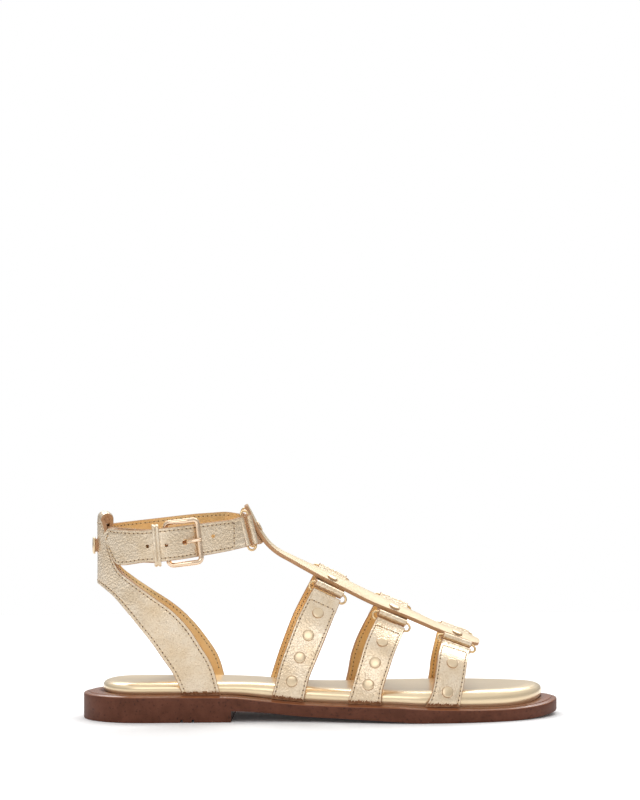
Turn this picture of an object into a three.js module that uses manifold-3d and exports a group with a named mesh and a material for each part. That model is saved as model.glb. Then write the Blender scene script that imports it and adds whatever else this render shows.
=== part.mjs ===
// Flat gladiator sandal, right foot, US women's 6, in millimetres with +Z up.
// A moulded outsole with a low heel carries a wrapped footbed. A T-strap runs down the instep,
// three pairs of side straps hang from it on wire rings, and a heel strap with a folded back tab
// holds a buckled ankle strap. X runs from the back of the heel (0) to the tip of the toe,
// the buckle is on the outer (lateral) side at -Y, and the floor is Z = 0.
import * as THREE from 'three';
import { mergeVertices } from 'three/addons/utils/BufferGeometryUtils.js';
import Module from 'manifold-3d';

const wasm = await Module();
wasm.setup();

// ---------- driving dimensions ----------
const soleLength = 250;
const gap = 0.3; // clearance between pieces that touch
const tipY = 5; // the toe tip lies a little towards the big toe
const rimInset = 5; // flat rim left around the footbed at the sides
const strapInset = 4.1; // inner face of every strap, in from the sole edge
const strapThick = 2.2;
const ankleThick = 1.9;
const spineThick = 2.0;
const spineHalf = 7;
const spineCrown = 30; // radius of the spine's crowned top
const tabThick = 1.3;
const tabWidth = 16; // at the rings
const tabStripWidth = 16.8; // under the spine
const wire = 0.6; // ring wire radius
const barReach = 2.3; // from a ring's centre to each of its bars
const ringStraight = 16.2;
const rollOuter = 1.55; // leather rolled round a ring bar
const rollHole = wire + gap;
const studRadius = 2.75;
const studHeight = 1.1;
const sliver = 0.01; // edges shorter than this are closed up after a cut

// Side edges of the sole between the round heel and the round toe.
const soleEdges = [
  { x: 35, lat: 31.4, med: 29.8 },
  { x: 62, lat: 31.2, med: 28.3 },
  { x: 92, lat: 31.0, med: 25.2 },
  { x: 115, lat: 33.4, med: 25.6 },
  { x: 135, lat: 38.2, med: 30.0 },
  { x: 155, lat: 42.8, med: 36.2 },
  { x: 172, lat: 44.5, med: 41.2 },
  { x: 186, lat: 44.2, med: 43.0 },
];
const lateralBall = 172; // widest point on the lateral side
const medialBall = 186;

// Side profile of the sole: rim, underside of the forepart, and top of the footbed.
const soleProfile = [
  { x: 0, rim: 14.2, under: 6.5, bed: 20.2 },
  { x: 60, rim: 14.0, under: 6.0, bed: 20.2 },
  { x: 80, rim: 13.5, under: 5.6, bed: 20.1 },
  { x: 94, rim: 12.0, under: 4.9, bed: 19.5 },
  { x: 114, rim: 10.1, under: 2.9, bed: 17.6 },
  { x: 135, rim: 9.5, under: 2.0, bed: 16.6 },
  { x: 160, rim: 9.1, under: 0.8, bed: 16.2 },
  { x: 172, rim: 8.4, under: 0, bed: 16.0 },
  { x: 200, rim: 7.5, under: 0, bed: 16.0 },
  { x: 222, rim: 7.3, under: 0, bed: 16.0 },
  { x: 238, rim: 8.0, under: 0.9, bed: 16.3 },
  { x: 250, rim: 9.6, under: 2.2, bed: 16.8 },
];
const heelBreast = 78.4; // front of the heel at the sole's middle
const breastLean = 5.5; // the medial corner of the breast is further forward
const heelNotches = [52.5, 58.5];

// Underside of the spine strap on its own centre line; roll tips it towards the lateral side.
const spineRows = [
  { x: 84.0, z: 110.6, roll: 3 },
  { x: 86.3, z: 106.5, roll: 3 },
  { x: 90.0, z: 99.5, roll: 4 },
  { x: 95.2, z: 91.6, roll: 4 },
  { x: 101.0, z: 86.4, roll: 5 },
  { x: 108.0, z: 82.6, roll: 7 },
  { x: 120.0, z: 76.5, roll: 12 },
  { x: 137.6, z: 67.9, roll: 16 },
  { x: 151.6, z: 61.0, roll: 17 },
  { x: 170.7, z: 52.8, roll: 13 },
  { x: 187.8, z: 45.2, roll: 11 },
  { x: 200.0, z: 40.6, roll: 12 },
  { x: 207.8, z: 37.2, roll: 12 },
];

// Tabs under the spine. Each ring's centre is "out" from the spine and "down" below it, and
// "tilt" turns the ring down along the foot. A ring runs parallel to the spine unless its tab
// has its own "pitch", in degrees below the horizontal.
const tabs = [
  { name: '1', x: 129.9, lat: { out: 14.6, down: 3.3, tilt: 60 }, med: { out: 14.6, down: 1.9, tilt: 55 } },
  { name: '2', x: 162.7, lat: { out: 15.4, down: 2.5, tilt: 47 }, med: { out: 15.1, down: 1.8, tilt: 50 } },
  { name: '3', x: 195.9, lat: { out: 14.2, down: 0.9, tilt: 38 }, med: { out: 14.4, down: 1.5, tilt: 40 } },
  {
    name: 'ankle', x: 90.2, pitch: 76,
    lat: { out: 13.8, down: 4.0, tilt: 65 }, med: { out: 13.8, down: 4.0, tilt: 65 },
  },
];

// Side straps: their edges at some heights between the rim and the ring, how much further
// forward the medial strap is there, and the studs as fractions of the way up.
const sideStraps = [
  {
    name: '1',
    rows: [
      { rearX: 96.7, frontX: 113.3, ahead: 0.5 },
      { rearX: 101.0, rearZ: 28.0, frontX: 116.2, frontZ: 22.0, ahead: 1.2 },
      { rearX: 105.9, rearZ: 41.0, frontX: 121.3, frontZ: 34.0, ahead: 0.8 },
      { rearX: 111.0, rearZ: 53.0, frontX: 126.3, frontZ: 45.5, ahead: 0.5 },
    ],
    studs: [0.17, 0.4, 0.63, 0.84],
  },
  {
    name: '2',
    rows: [
      { rearX: 135.6, frontX: 152.7, ahead: 3 },
      { rearX: 138.6, rearZ: 19.0, frontX: 153.5, frontZ: 16.5, ahead: 2.6 },
      { rearX: 142.0, rearZ: 30.0, frontX: 156.4, frontZ: 25.0, ahead: 1.2 },
      { rearX: 145.8, rearZ: 41.0, frontX: 160.3, frontZ: 35.0, ahead: 1.2 },
    ],
    studs: [0.29, 0.56, 0.78],
  },
  {
    name: '3',
    rows: [
      { rearX: 175.4, frontX: 192.7, ahead: 8 },
      { rearX: 178.7, rearZ: 16.0, frontX: 194.2, frontZ: 14.5, ahead: 7 },
      { rearX: 180.8, rearZ: 25.0, frontX: 196.2, frontZ: 22.0, ahead: 5.5 },
      { rearX: 182.7, rearZ: 33.0, frontX: 198.0, frontZ: 28.8, ahead: 4.5 },
    ],
    studs: [0.25, 0.66],
  },
];

// Foot form under the side straps: top line and how far it leans to the big toe side.
const archCrest = [
  { x: 90, z: 100, y: 2 },
  { x: 107, z: 83.6, y: 4 },
  { x: 128, z: 73.2, y: 4.5 },
  { x: 147, z: 63.8, y: 4.5 },
  { x: 165, z: 55.8, y: 4.5 },
  { x: 188, z: 45.7, y: 4 },
  { x: 206, z: 39.5, y: 3.5 },
];
const archFullness = 1.85;
const archRise = 0.56;

// Ankle oval in plan: the outer face of the heel strap lies on it.
const oval = { x: 40, back: 33, front: 50.5, lat: 29.3, med: 28.3 };

// Heel strap arm from the rim to the middle of the back: lower edge, upper edge, and how much
// further forward the medial arm is.
const heelRows = [
  { lowX: 51.3, highX: 71.3, ahead: 5.5 },
  { lowX: 46.0, lowZ: 25.2, highX: 66.8, highZ: 29.0, ahead: 5.5 },
  { lowX: 40.5, lowZ: 33.0, highX: 60.5, highZ: 39.5, ahead: 5 },
  { lowX: 34.5, lowZ: 41.3, highX: 54.0, highZ: 49.0, ahead: 3.5 },
  { lowX: 27.5, lowZ: 50.0, highX: 45.5, highZ: 57.6, ahead: 2 },
  { lowX: 20.5, lowZ: 58.5, highX: 34.5, highZ: 65.5, ahead: 0.8 },
  { lowX: 15.0, lowZ: 64.4, highX: 24.5, highZ: 72.8, ahead: 0 },
  { lowX: 11.0, lowZ: 67.6, highX: 17.5, highZ: 79.0, ahead: 0 },
  { lowX: 8.6, lowZ: 69.2, highX: 13.0, highZ: 89.0, ahead: 0 },
  { lowX: 7.4, lowZ: 69.9, highX: 9.4, highZ: 102.8, ahead: 0 },
  { lowX: 7.1, lowZ: 70.0, highX: 7.7, highZ: 103.4, ahead: 0 },
];
const backSeam = { lowZ: 70, highZ: 103.7 };
const backTab = { half: 9.8, foldZ: 102.9, innerZ: 80, pocket: 2.9, layer: 1.5 };

// Ankle strap edges along the sandal's length.
const holedEdges = [
  { x: 12.0, low: 95.0, high: 96.2 },
  { x: 14.4, low: 88.6, high: 99.8 },
  { x: 17.9, low: 81.5, high: 99.3 },
  { x: 31.0, low: 82.4, high: 99.2 },
  { x: 45.0, low: 83.5, high: 100.8 },
  { x: 61.0, low: 85.4, high: 102.3 },
  { x: 77.0, low: 87.9, high: 104.0 },
];
const innerEdges = [
  { x: 7, low: 83.6, high: 100.6 },
  { x: 20, low: 84.2, high: 101.4 },
  { x: 40, low: 86.0, high: 103.2 },
  { x: 60, low: 88.3, high: 105.4 },
  { x: 82, low: 90.2, high: 107.0 },
];
const innerOffset = -2.1 - 1.5 * gap; // the inner strap runs inside the heel strap
const holedOffsets = [ // inner face of the holed strap, out from the ankle oval
  { x: 10, off: gap },
  { x: 22, off: gap + 0.1 },
  { x: 30, off: 0.9 },
  { x: 41, off: 2.0 },
  { x: 46, off: 1.2 },
  { x: 53, off: -1.3 },
  { x: 60, off: -2.7 },
  { x: 72, off: -2.4 },
];

const buckle = {
  x: 51.2, y: -28.1, z: 92.6, turn: 6.5,
  width: 16.8, height: 21.9, corner: 2.4, wire: 1.25, bow: 1.2,
};
const keeper = { x: 37.4, y: -28.6, z: 91.2, turn: 5, half: 4.6, high: 9.6, wall: 1.2, width: 3.5 };
const tongueHole = { x: 52.2, z: 92.8, radius: 2.1 };
const rearStud = { z: 90, radius: 4.5, height: 2.4 };

// ---------- numbers and solids ----------
const rad = THREE.MathUtils.degToRad;
const vec = (x, y, z) => new THREE.Vector3(x, y, z);

// Smooth value of one column of a table of rows ordered by x.
function along(table, x, column) {
  const last = table.length - 1;
  const at = THREE.MathUtils.clamp(x, table[0].x, table[last].x);
  let i = 0;
  while (i < last - 1 && at > table[i + 1].x) i += 1;
  const slope = (k) => {
    const a = table[Math.max(k - 1, 0)];
    const b = table[Math.min(k + 1, last)];
    return (b[column] - a[column]) / (b.x - a.x);
  };
  const step = table[i + 1].x - table[i].x;
  const t = (at - table[i].x) / step;
  const rise = table[i + 1][column] - table[i][column];
  const limit = (m) => (rise === 0 ? 0 : m);
  const m0 = limit(slope(i)) * step;
  const m1 = limit(slope(i + 1)) * step;
  const t2 = t * t;
  const t3 = t2 * t;
  return table[i][column] * (2 * t3 - 3 * t2 + 1) + m0 * (t3 - 2 * t2 + t)
    + table[i + 1][column] * (3 * t2 - 2 * t3) + m1 * (t3 - t2);
}

// A geometry from plain points and faces, turned so that its faces point out.
function closedGeometry(points, faces) {
  let volume = 0;
  for (const [a, b, c] of faces) volume += points[a].dot(points[b].clone().cross(points[c]));
  const index = faces.flatMap(([a, b, c]) => (volume < 0 ? [a, c, b] : [a, b, c]));
  const geometry = new THREE.BufferGeometry();
  geometry.setAttribute('position', new THREE.Float32BufferAttribute(points.flatMap((p) => p.toArray()), 3));
  geometry.setIndex(index);
  return geometry;
}

function solid(geometry) {
  const bare = geometry.clone();
  bare.deleteAttribute('normal');
  bare.deleteAttribute('uv');
  const merged = mergeVertices(bare, 1e-4);
  const index = [];
  const old = merged.index.array;
  for (let i = 0; i < old.length; i += 3) {
    const [a, b, c] = old.slice(i, i + 3);
    if (a !== b && b !== c && a !== c) index.push(a, b, c);
  }
  return new wasm.Manifold(new wasm.Mesh({
    numProp: 3,
    vertProperties: new Float32Array(merged.attributes.position.array),
    triVerts: new Uint32Array(index),
  }));
}

function fromSolid(body) {
  const mesh = body.simplify(sliver).getMesh();
  const geometry = new THREE.BufferGeometry();
  geometry.setAttribute('position', new THREE.BufferAttribute(mesh.vertProperties, 3));
  geometry.setIndex(new THREE.BufferAttribute(mesh.triVerts, 1));
  return geometry;
}

// A sheet of leather: rows of points on its inner face, thickened along the outward normal.
function sheet(rows, thick, outward) {
  const high = rows.length;
  const wide = rows[0].length;
  const points = [];
  for (const row of rows) points.push(...row);
  for (let i = 0; i < high; i += 1) {
    for (let j = 0; j < wide; j += 1) {
      const up = rows[Math.min(i + 1, high - 1)][j].clone().sub(rows[Math.max(i - 1, 0)][j]);
      const side = rows[i][Math.min(j + 1, wide - 1)].clone().sub(rows[i][Math.max(j - 1, 0)]);
      const normal = up.cross(side).normalize();
      if (normal.dot(outward(rows[i][j])) < 0) normal.negate();
      points.push(rows[i][j].clone().addScaledVector(normal, thick));
    }
  }
  const at = (layer, i, j) => layer * high * wide + i * wide + j;
  const faces = [];
  const quad = (a, b, c, d) => faces.push([a, b, c], [a, c, d]);
  for (let i = 0; i < high - 1; i += 1) {
    for (let j = 0; j < wide - 1; j += 1) {
      quad(at(0, i, j), at(0, i, j + 1), at(0, i + 1, j + 1), at(0, i + 1, j));
      quad(at(1, i, j), at(1, i + 1, j), at(1, i + 1, j + 1), at(1, i, j + 1));
    }
    quad(at(0, i, 0), at(0, i + 1, 0), at(1, i + 1, 0), at(1, i, 0));
    quad(at(0, i, wide - 1), at(1, i, wide - 1), at(1, i + 1, wide - 1), at(0, i + 1, wide - 1));
  }
  for (let j = 0; j < wide - 1; j += 1) {
    quad(at(0, 0, j), at(1, 0, j), at(1, 0, j + 1), at(0, 0, j + 1));
    quad(at(0, high - 1, j), at(0, high - 1, j + 1), at(1, high - 1, j + 1), at(1, high - 1, j));
  }
  return closedGeometry(points, faces);
}

// A turned piece placed with its axis along a direction, its base at the origin point.
function placed(geometry, origin, direction) {
  const turn = new THREE.Quaternion().setFromUnitVectors(vec(0, 1, 0), direction.clone().normalize());
  return geometry.applyQuaternion(turn).translate(origin.x, origin.y, origin.z);
}

function rod(centre, direction, radius, length, sides = 10) {
  return placed(new THREE.CylinderGeometry(radius, radius, length, sides), centre, direction);
}

// ---------- the sole ----------
function soleHalf(x, side) {
  const widest = side === 'lat' ? lateralBall : medialBall;
  if (x < 35) {
    return along(soleEdges, 35, side) * Math.sqrt(Math.max(0, 1 - ((35 - x) / 35) ** 2.4));
  }
  if (x <= widest) return along(soleEdges, x, side);
  const power = side === 'lat' ? 2.3 : 2.4;
  const tip = side === 'lat' ? -tipY : tipY;
  const reach = (x - widest) / (soleLength - widest);
  return tip + (along(soleEdges, widest, side) - tip) * Math.sqrt(Math.max(0, 1 - reach ** power));
}

// Points round the sole, in from its edge: up the lateral side and back down the medial side.
function outline(inset, half = 30) {
  const edge = [];
  const xAt = (i) => soleLength * (1 - Math.cos((Math.PI * i) / half)) / 2;
  for (let i = 0; i <= half; i += 1) edge.push([xAt(i), -soleHalf(xAt(i), 'lat')]);
  for (let i = half - 1; i > 0; i -= 1) edge.push([xAt(i), soleHalf(xAt(i), 'med')]);
  edge[0][1] = 0;
  return edge.map(([x, y], k) => {
    const [ax, ay] = edge[(k + edge.length - 1) % edge.length];
    const [bx, by] = edge[(k + 1) % edge.length];
    const length = Math.hypot(bx - ax, by - ay);
    const d = typeof inset === 'function' ? inset(x) : inset;
    return [x - (by - ay) / length * d, y + (bx - ax) / length * d];
  });
}

// A slab between rings round the sole, each with its inset and its height along the length.
function slab(rings) {
  const loops = rings.map(({ inset, z }) => outline(inset).map(([x, y]) => vec(x, y, z(x))));
  const count = loops[0].length;
  const points = loops.flat();
  const faces = [];
  for (let r = 0; r < loops.length - 1; r += 1) {
    for (let k = 0; k < count; k += 1) {
      const a = r * count + k;
      const b = r * count + ((k + 1) % count);
      faces.push([a, b, b + count], [a, b + count, a + count]);
    }
  }
  const top = (loops.length - 1) * count;
  for (let k = 0; k < count / 2; k += 1) {
    const m = (count - k) % count;
    const n = count - k - 1;
    if (k > 0) faces.push([k, m, n], [top + k, top + n, top + m]);
    if (k + 1 !== n) faces.push([k, n, k + 1], [top + k, top + k + 1, top + n]);
  }
  return closedGeometry(points, faces);
}

const rimZ = (x) => along(soleProfile, x, 'rim');
const underZ = (x) => along(soleProfile, x, 'under');

function outsole() {
  const bevel = 0.5;
  const plate = slab([
    { inset: bevel, z: underZ },
    { inset: 0, z: (x) => underZ(x) + bevel },
    { inset: 0, z: (x) => rimZ(x) - bevel },
    { inset: bevel, z: rimZ },
  ]);
  const block = slab([
    { inset: bevel, z: () => 0 },
    { inset: 0, z: () => bevel },
    { inset: 0, z: (x) => underZ(x) + 1.5 },
  ]);
  const reach = 200;
  const behind = new THREE.BoxGeometry(reach, reach, reach);
  behind.translate(-reach / 2, 0, 0);
  behind.rotateZ(-Math.atan2(breastLean, 2 * 29));
  behind.translate(heelBreast, 0, 0);
  let whole = solid(plate).add(solid(block).intersect(solid(behind)));
  for (const x of heelNotches) {
    const notch = new THREE.BoxGeometry(1.3, 90, 3).translate(x, 0, 0);
    whole = whole.subtract(solid(notch));
  }
  return fromSolid(whole);
}

function footbed() {
  const bedZ = (x) => along(soleProfile, x, 'bed');
  const inset = (more) => (x) => rimInset + more
    + 5.2 * Math.max(0, 1 - x / 22) ** 1.5 + 3.2 * Math.max(0, (x - 222) / 28) ** 1.5;
  const rise = (part) => (x) => rimZ(x) + gap + (bedZ(x) - rimZ(x) - gap) * part;
  return slab([
    { inset: inset(0.9), z: rise(0) },
    { inset: inset(0.0), z: rise(0.3) },
    { inset: inset(0.3), z: rise(0.6) },
    { inset: inset(1.8), z: rise(0.85) },
    { inset: inset(4.5), z: rise(0.96) },
    { inset: inset(8.0), z: rise(1) },
  ]);
}

// ---------- the foot form ----------
// Side of the foot form at a length and a height: "lat" is -Y, "med" is +Y.
function archPoint(x, z, side) {
  const sign = side === 'lat' ? -1 : 1;
  const crestY = along(archCrest, x, 'y');
  const crestZ = along(archCrest, x, 'z');
  const baseZ = rimZ(x) + gap;
  const base = sign * (soleHalf(x, side) - strapInset);
  const high = THREE.MathUtils.clamp((z - baseZ) / (crestZ - baseZ), 0, 0.999);
  const out = (1 - high ** (1 / archRise)) ** (1 / archFullness);
  return vec(x, crestY + (base - crestY) * out, z);
}

// Frame of the spine at a length: point, direction, across to the lateral side, and normal.
function spineFrame(x, pitch) {
  const z = along(spineRows, x, 'z');
  const slope = (along(spineRows, x + 0.5, 'z') - along(spineRows, x - 0.5, 'z'));
  const fall = pitch === undefined ? Math.atan(-slope) : rad(pitch);
  const forward = vec(Math.cos(fall), 0, -Math.sin(fall));
  const up = vec(Math.sin(fall), 0, Math.cos(fall));
  const roll = rad(along(spineRows, x, 'roll'));
  const across = vec(0, -1, 0).multiplyScalar(Math.cos(roll)).addScaledVector(up, -Math.sin(roll));
  const normal = up.multiplyScalar(Math.cos(roll)).addScaledVector(vec(0, -1, 0), Math.sin(roll));
  return { at: vec(x, 0, z), forward, across, normal };
}

const onFrame = (f, s, h) => f.at.clone().addScaledVector(f.across, s).addScaledVector(f.normal, h);
const crownAt = (s) => -(s * s) / (2 * spineCrown);

// Centre and directions of a ring beside a tab.
function ringFrame(tab, side) {
  const f = spineFrame(tab.x, tab.pitch);
  const sign = side === 'lat' ? 1 : -1;
  const { out, down, tilt } = tab[side];
  const outward = f.across.clone().multiplyScalar(sign * Math.cos(rad(tilt)))
    .addScaledVector(f.normal, -Math.sin(rad(tilt)));
  const normal = f.across.clone().multiplyScalar(sign * Math.sin(rad(tilt)))
    .addScaledVector(f.normal, Math.cos(rad(tilt)));
  return { centre: onFrame(f, sign * out, -down), forward: f.forward, outward, normal };
}

const barPoint = (ring, reach) => ring.centre.clone().addScaledVector(ring.outward, reach);

// ---------- straps over the instep ----------
function spine() {
  const rows = [];
  const first = spineRows[0].x;
  const last = spineRows[spineRows.length - 1].x;
  const steps = 17;
  for (let i = 0; i <= steps; i += 1) {
    const x = first + (last - first) * (i / steps) ** 1.25;
    const f = spineFrame(x);
    const left = Math.min(x - first, (last - x) * 1.1);
    const half = spineHalf * Math.min(1, Math.sqrt(0.35 + left / 5));
    rows.push([-1, -0.5, 0, 0.5, 1].map((c) => onFrame(f, c * half, crownAt(c * half))));
  }
  return sheet(rows, spineThick, () => vec(0.4, 0, 0.9));
}

function tabStrip(tab) {
  const f = spineFrame(tab.x);
  const embed = 0.3;
  const edge = spineHalf + 0.4;
  const under = (s) => onFrame(f, s, crownAt(s) - tabThick);
  const row = (point, forward, width) => (
    [-0.5, 0.5].map((c) => point.clone().addScaledVector(forward, c * width)));
  const rows = [];
  for (const side of ['lat', 'med']) {
    const sign = side === 'lat' ? 1 : -1;
    const ring = ringFrame(tab, side);
    const bar = barPoint(ring, -barReach).addScaledVector(f.normal, rollOuter - tabThick - embed);
    const between = bar.clone().lerp(under(sign * edge), 0.5);
    const part = [
      row(bar, ring.forward, tabWidth),
      row(between, ring.forward.clone().add(f.forward).normalize(), tabStripWidth),
      row(under(sign * edge), f.forward, tabStripWidth),
    ];
    rows.push(...(sign > 0 ? part : part.reverse()));
  }
  const middle = [0.6, 0, -0.6].map((c) => row(under(c * spineHalf), f.forward, tabStripWidth));
  rows.splice(3, 0, ...middle);
  return sheet(rows, tabThick + embed, () => f.normal);
}

function rolled(ring, reach) {
  return rod(barPoint(ring, reach), ring.forward, rollOuter, tabWidth);
}

const barHole = (ring, reach) => rod(barPoint(ring, reach), ring.forward, rollHole, tabWidth + 6, 12);

function instepStrap() {
  let whole = solid(spine());
  for (const tab of tabs) {
    whole = whole.add(solid(tabStrip(tab)));
    for (const side of ['lat', 'med']) {
      const ring = ringFrame(tab, side);
      whole = whole.add(solid(rolled(ring, -barReach))).subtract(solid(barHole(ring, -barReach)));
    }
  }
  return fromSolid(whole);
}

function wireRing(ring) {
  const curve = [];
  const straight = ringStraight / 2;
  for (let k = 0; k < 2; k += 1) {
    for (let i = 0; i <= 6; i += 1) {
      const angle = (k + i / 6 - 0.5) * Math.PI;
      const forward = (k === 0 ? straight : -straight) + barReach * Math.cos(angle);
      curve.push(ring.centre.clone().addScaledVector(ring.forward, forward)
        .addScaledVector(ring.outward, barReach * Math.sin(angle)));
    }
  }
  const path = new THREE.CatmullRomCurve3(curve, true, 'centripetal');
  return new THREE.TubeGeometry(path, 24, wire, 6, true);
}

// ---------- side straps ----------
// Three lines up a side strap: rear edge, middle and front edge, from the rim to the ring bar.
function strapLines(strap, side) {
  const ring = ringFrame(tabs.find((tab) => tab.name === strap.name), side);
  const bar = barPoint(ring, barReach).addScaledVector(ring.normal, -strapThick / 2);
  return [0, 0.5, 1].map((c) => {
    const line = strap.rows.map((row) => {
      const x = row.rearX + (row.frontX - row.rearX) * c + (side === 'med' ? row.ahead : 0);
      const foot = rimZ(x) + gap;
      const z = row.rearZ === undefined ? foot : row.rearZ + (row.frontZ - row.rearZ) * c;
      return archPoint(x, z, side);
    });
    line.push(bar.clone().addScaledVector(ring.forward, (c - 0.5) * tabWidth));
    return new THREE.CatmullRomCurve3(line, false, 'centripetal');
  });
}

const sideways = (side) => (side === 'lat' ? vec(0, -1, 0.4) : vec(0, 1, 0.4));

function sideStrap(strap, side) {
  const ring = ringFrame(tabs.find((tab) => tab.name === strap.name), side);
  const lines = strapLines(strap, side);
  const rows = [];
  const steps = 9;
  for (let i = 0; i <= steps; i += 1) rows.push(lines.map((line) => line.getPoint(i / steps)));
  const whole = solid(sheet(rows, strapThick, () => sideways(side)))
    .add(solid(rolled(ring, barReach)))
    .subtract(solid(barHole(ring, barReach)));
  return fromSolid(whole);
}

// ---------- heel strap and back tab ----------
// A point on the ankle oval's side, moved out by an offset.
function ovalPoint(x, z, side, offset) {
  const reach = x < oval.x ? oval.back : oval.front;
  const low = THREE.MathUtils.clamp((60 - z) / 45, 0, 1);
  const base = soleHalf(x, side) - strapInset + strapThick;
  const wide = THREE.MathUtils.lerp(oval[side], base, low * (x > 30 ? 1 : 0.5));
  const sign = side === 'lat' ? -1 : 1;
  const part = THREE.MathUtils.clamp((x - oval.x) / reach, -1, 1);
  const y = low > 0 && x > oval.x ? wide : wide * Math.sqrt(1 - part * part);
  const normal = vec(part / reach, sign * Math.sqrt(1 - part * part) / wide, 0).normalize();
  return vec(x, sign * y, z).addScaledVector(normal, offset);
}

const fromAxis = (p) => vec(p.x - oval.x, p.y * 1.4, 0);

function heelStrap() {
  const inner = -strapThick + 0.1;
  const rows = [];
  for (const side of ['lat', 'med']) {
    const arm = heelRows.map((row) => [0, 0.25, 0.5, 0.75, 1].map((c) => {
      const x = row.lowX + (row.highX - row.lowX) * c + (side === 'med' ? row.ahead : 0);
      const foot = rimZ(x) + gap;
      const z = row.lowZ === undefined ? foot : row.lowZ + (row.highZ - row.lowZ) * c;
      return ovalPoint(x, z, side, inner);
    }));
    rows.push(...(side === 'lat' ? arm : arm.reverse()));
  }
  const seamX = oval.x - oval.back - inner;
  const seam = [0, 0.25, 0.5, 0.75, 1].map((c) => (
    vec(seamX, 0, THREE.MathUtils.lerp(backSeam.lowZ, backSeam.highZ, c))));
  rows.splice(heelRows.length, 0, seam);
  const band = solid(sheet(rows, -inner, fromAxis));
  return fromSolid(band.add(solid(backFold())));
}

// The tab's own leather: over the top and down inside, with a pocket for the ankle strap.
function backFold() {
  const outer = strapThick - 0.1;
  const radius = backTab.pocket / 2;
  const path = [];
  path.push([outer, backTab.foldZ]);
  for (let i = 0; i <= 6; i += 1) {
    const angle = Math.PI * (1 - i / 6);
    path.push([outer + radius + radius * Math.cos(angle), backTab.foldZ + 1.6 + radius * Math.sin(angle)]);
  }
  for (const z of [96, 88, backTab.innerZ]) path.push([outer + backTab.pocket, z]);
  const rows = path.map(([depth, z]) => [-1, -0.5, 0, 0.5, 1].map((c) => {
    const side = c < 0 ? 'lat' : 'med';
    const x = oval.x - oval.back * Math.sqrt(1 - (c * backTab.half / oval[side]) ** 2);
    return ovalPoint(x, z, side, -depth);
  }));
  const middle = oval.x - oval.back + outer + radius;
  return sheet(rows, backTab.layer, (p) => {
    const back = oval.back * (1 - Math.sqrt(1 - (p.y / oval.lat) ** 2));
    return vec(p.x - middle - back, 0, p.z > backTab.foldZ + 1.6 ? 1.5 * (p.z - backTab.foldZ) : 0);
  });
}

// ---------- ankle strap ----------
const hingeLean = vec(Math.sin(rad(-buckle.turn)), 0, Math.cos(rad(buckle.turn)));
const hingeX = buckle.x - buckle.width / 2;

function ringEnd(ring, thick, wide) {
  return [0, 0.5, 1].map((c) => barPoint(ring, barReach)
    .addScaledVector(ring.normal, -thick / 2)
    .addScaledVector(ring.forward, (0.5 - c) * wide));
}

// The holed strap: from the lateral ring back over the hinge bar to its cut end.
function holedStrap() {
  const ring = ringFrame(tabs[3], 'lat');
  const xs = [12, 13.2, 14.4, 17.9, 22, 26, 31, 36, 41, 46, 50, 54, 58, 62, 67, 72, 77];
  const rows = xs.map((x) => {
    const low = along(holedEdges, x, 'low');
    const high = along(holedEdges, x, 'high');
    const off = along(holedOffsets, x, 'off');
    return [0, 0.5, 1].map((c) => ovalPoint(x, Math.max(61, low + (high - low) * c), 'lat', off));
  });
  rows.push(ringEnd(ring, ankleThick, tabWidth));
  const hole = rod(vec(tongueHole.x, buckle.y, tongueHole.z), vec(0, 1, 0), tongueHole.radius, 12);
  return fromSolid(solid(sheet(rows, ankleThick, fromAxis))
    .add(solid(rolled(ring, barReach)))
    .subtract(solid(barHole(ring, barReach)))
    .subtract(solid(hole)));
}

// The plain strap: from the buckle's hinge bar round the back, through the tab, to the medial ring.
function plainStrap() {
  const ring = ringFrame(tabs[3], 'med');
  const stations = [];
  for (const x of [38, 33, 27, 21, 16, 12, 9.2, 7.5]) stations.push({ x, side: 'lat' });
  for (const x of [7, 7.5, 9.2, 12, 16, 22, 30, 40, 50, 60, 69, 77]) stations.push({ x, side: 'med' });
  const rows = stations.map(({ x, side }) => {
    const shift = side === 'lat' ? 1.2 * THREE.MathUtils.smoothstep(x, 12, 36) : 0;
    const low = along(innerEdges, x, 'low') - shift - (side === 'lat' ? 2.4 * x / 38 : 0);
    const high = along(innerEdges, x, 'high') - shift - (side === 'lat' ? 2.4 * x / 38 : 0);
    return [0, 0.5, 1].map((c) => ovalPoint(x, low + (high - low) * c, side, innerOffset - ankleThick));
  });
  const hinge = vec(hingeX, buckle.y, buckle.z);
  rows.unshift([-0.5, 0, 0.5].map((c) => hinge.clone().addScaledVector(hingeLean, c * 16)
    .add(vec(0, ankleThick / 2, 0))));
  rows.push(ringEnd(ring, ankleThick, tabWidth));
  const roll = rod(hinge, hingeLean, buckle.wire + gap + 1, 15.5);
  const bore = rod(hinge, hingeLean, buckle.wire + gap, 24, 12);
  const slot = new THREE.BoxGeometry(9, 8, 4.4).translate(hinge.x + 1.5, hinge.y, hinge.z);
  return fromSolid(solid(sheet(rows, ankleThick, fromAxis))
    .add(solid(roll))
    .subtract(solid(bore))
    .subtract(solid(slot))
    .add(solid(rolled(ring, barReach)))
    .subtract(solid(barHole(ring, barReach))));
}

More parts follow.
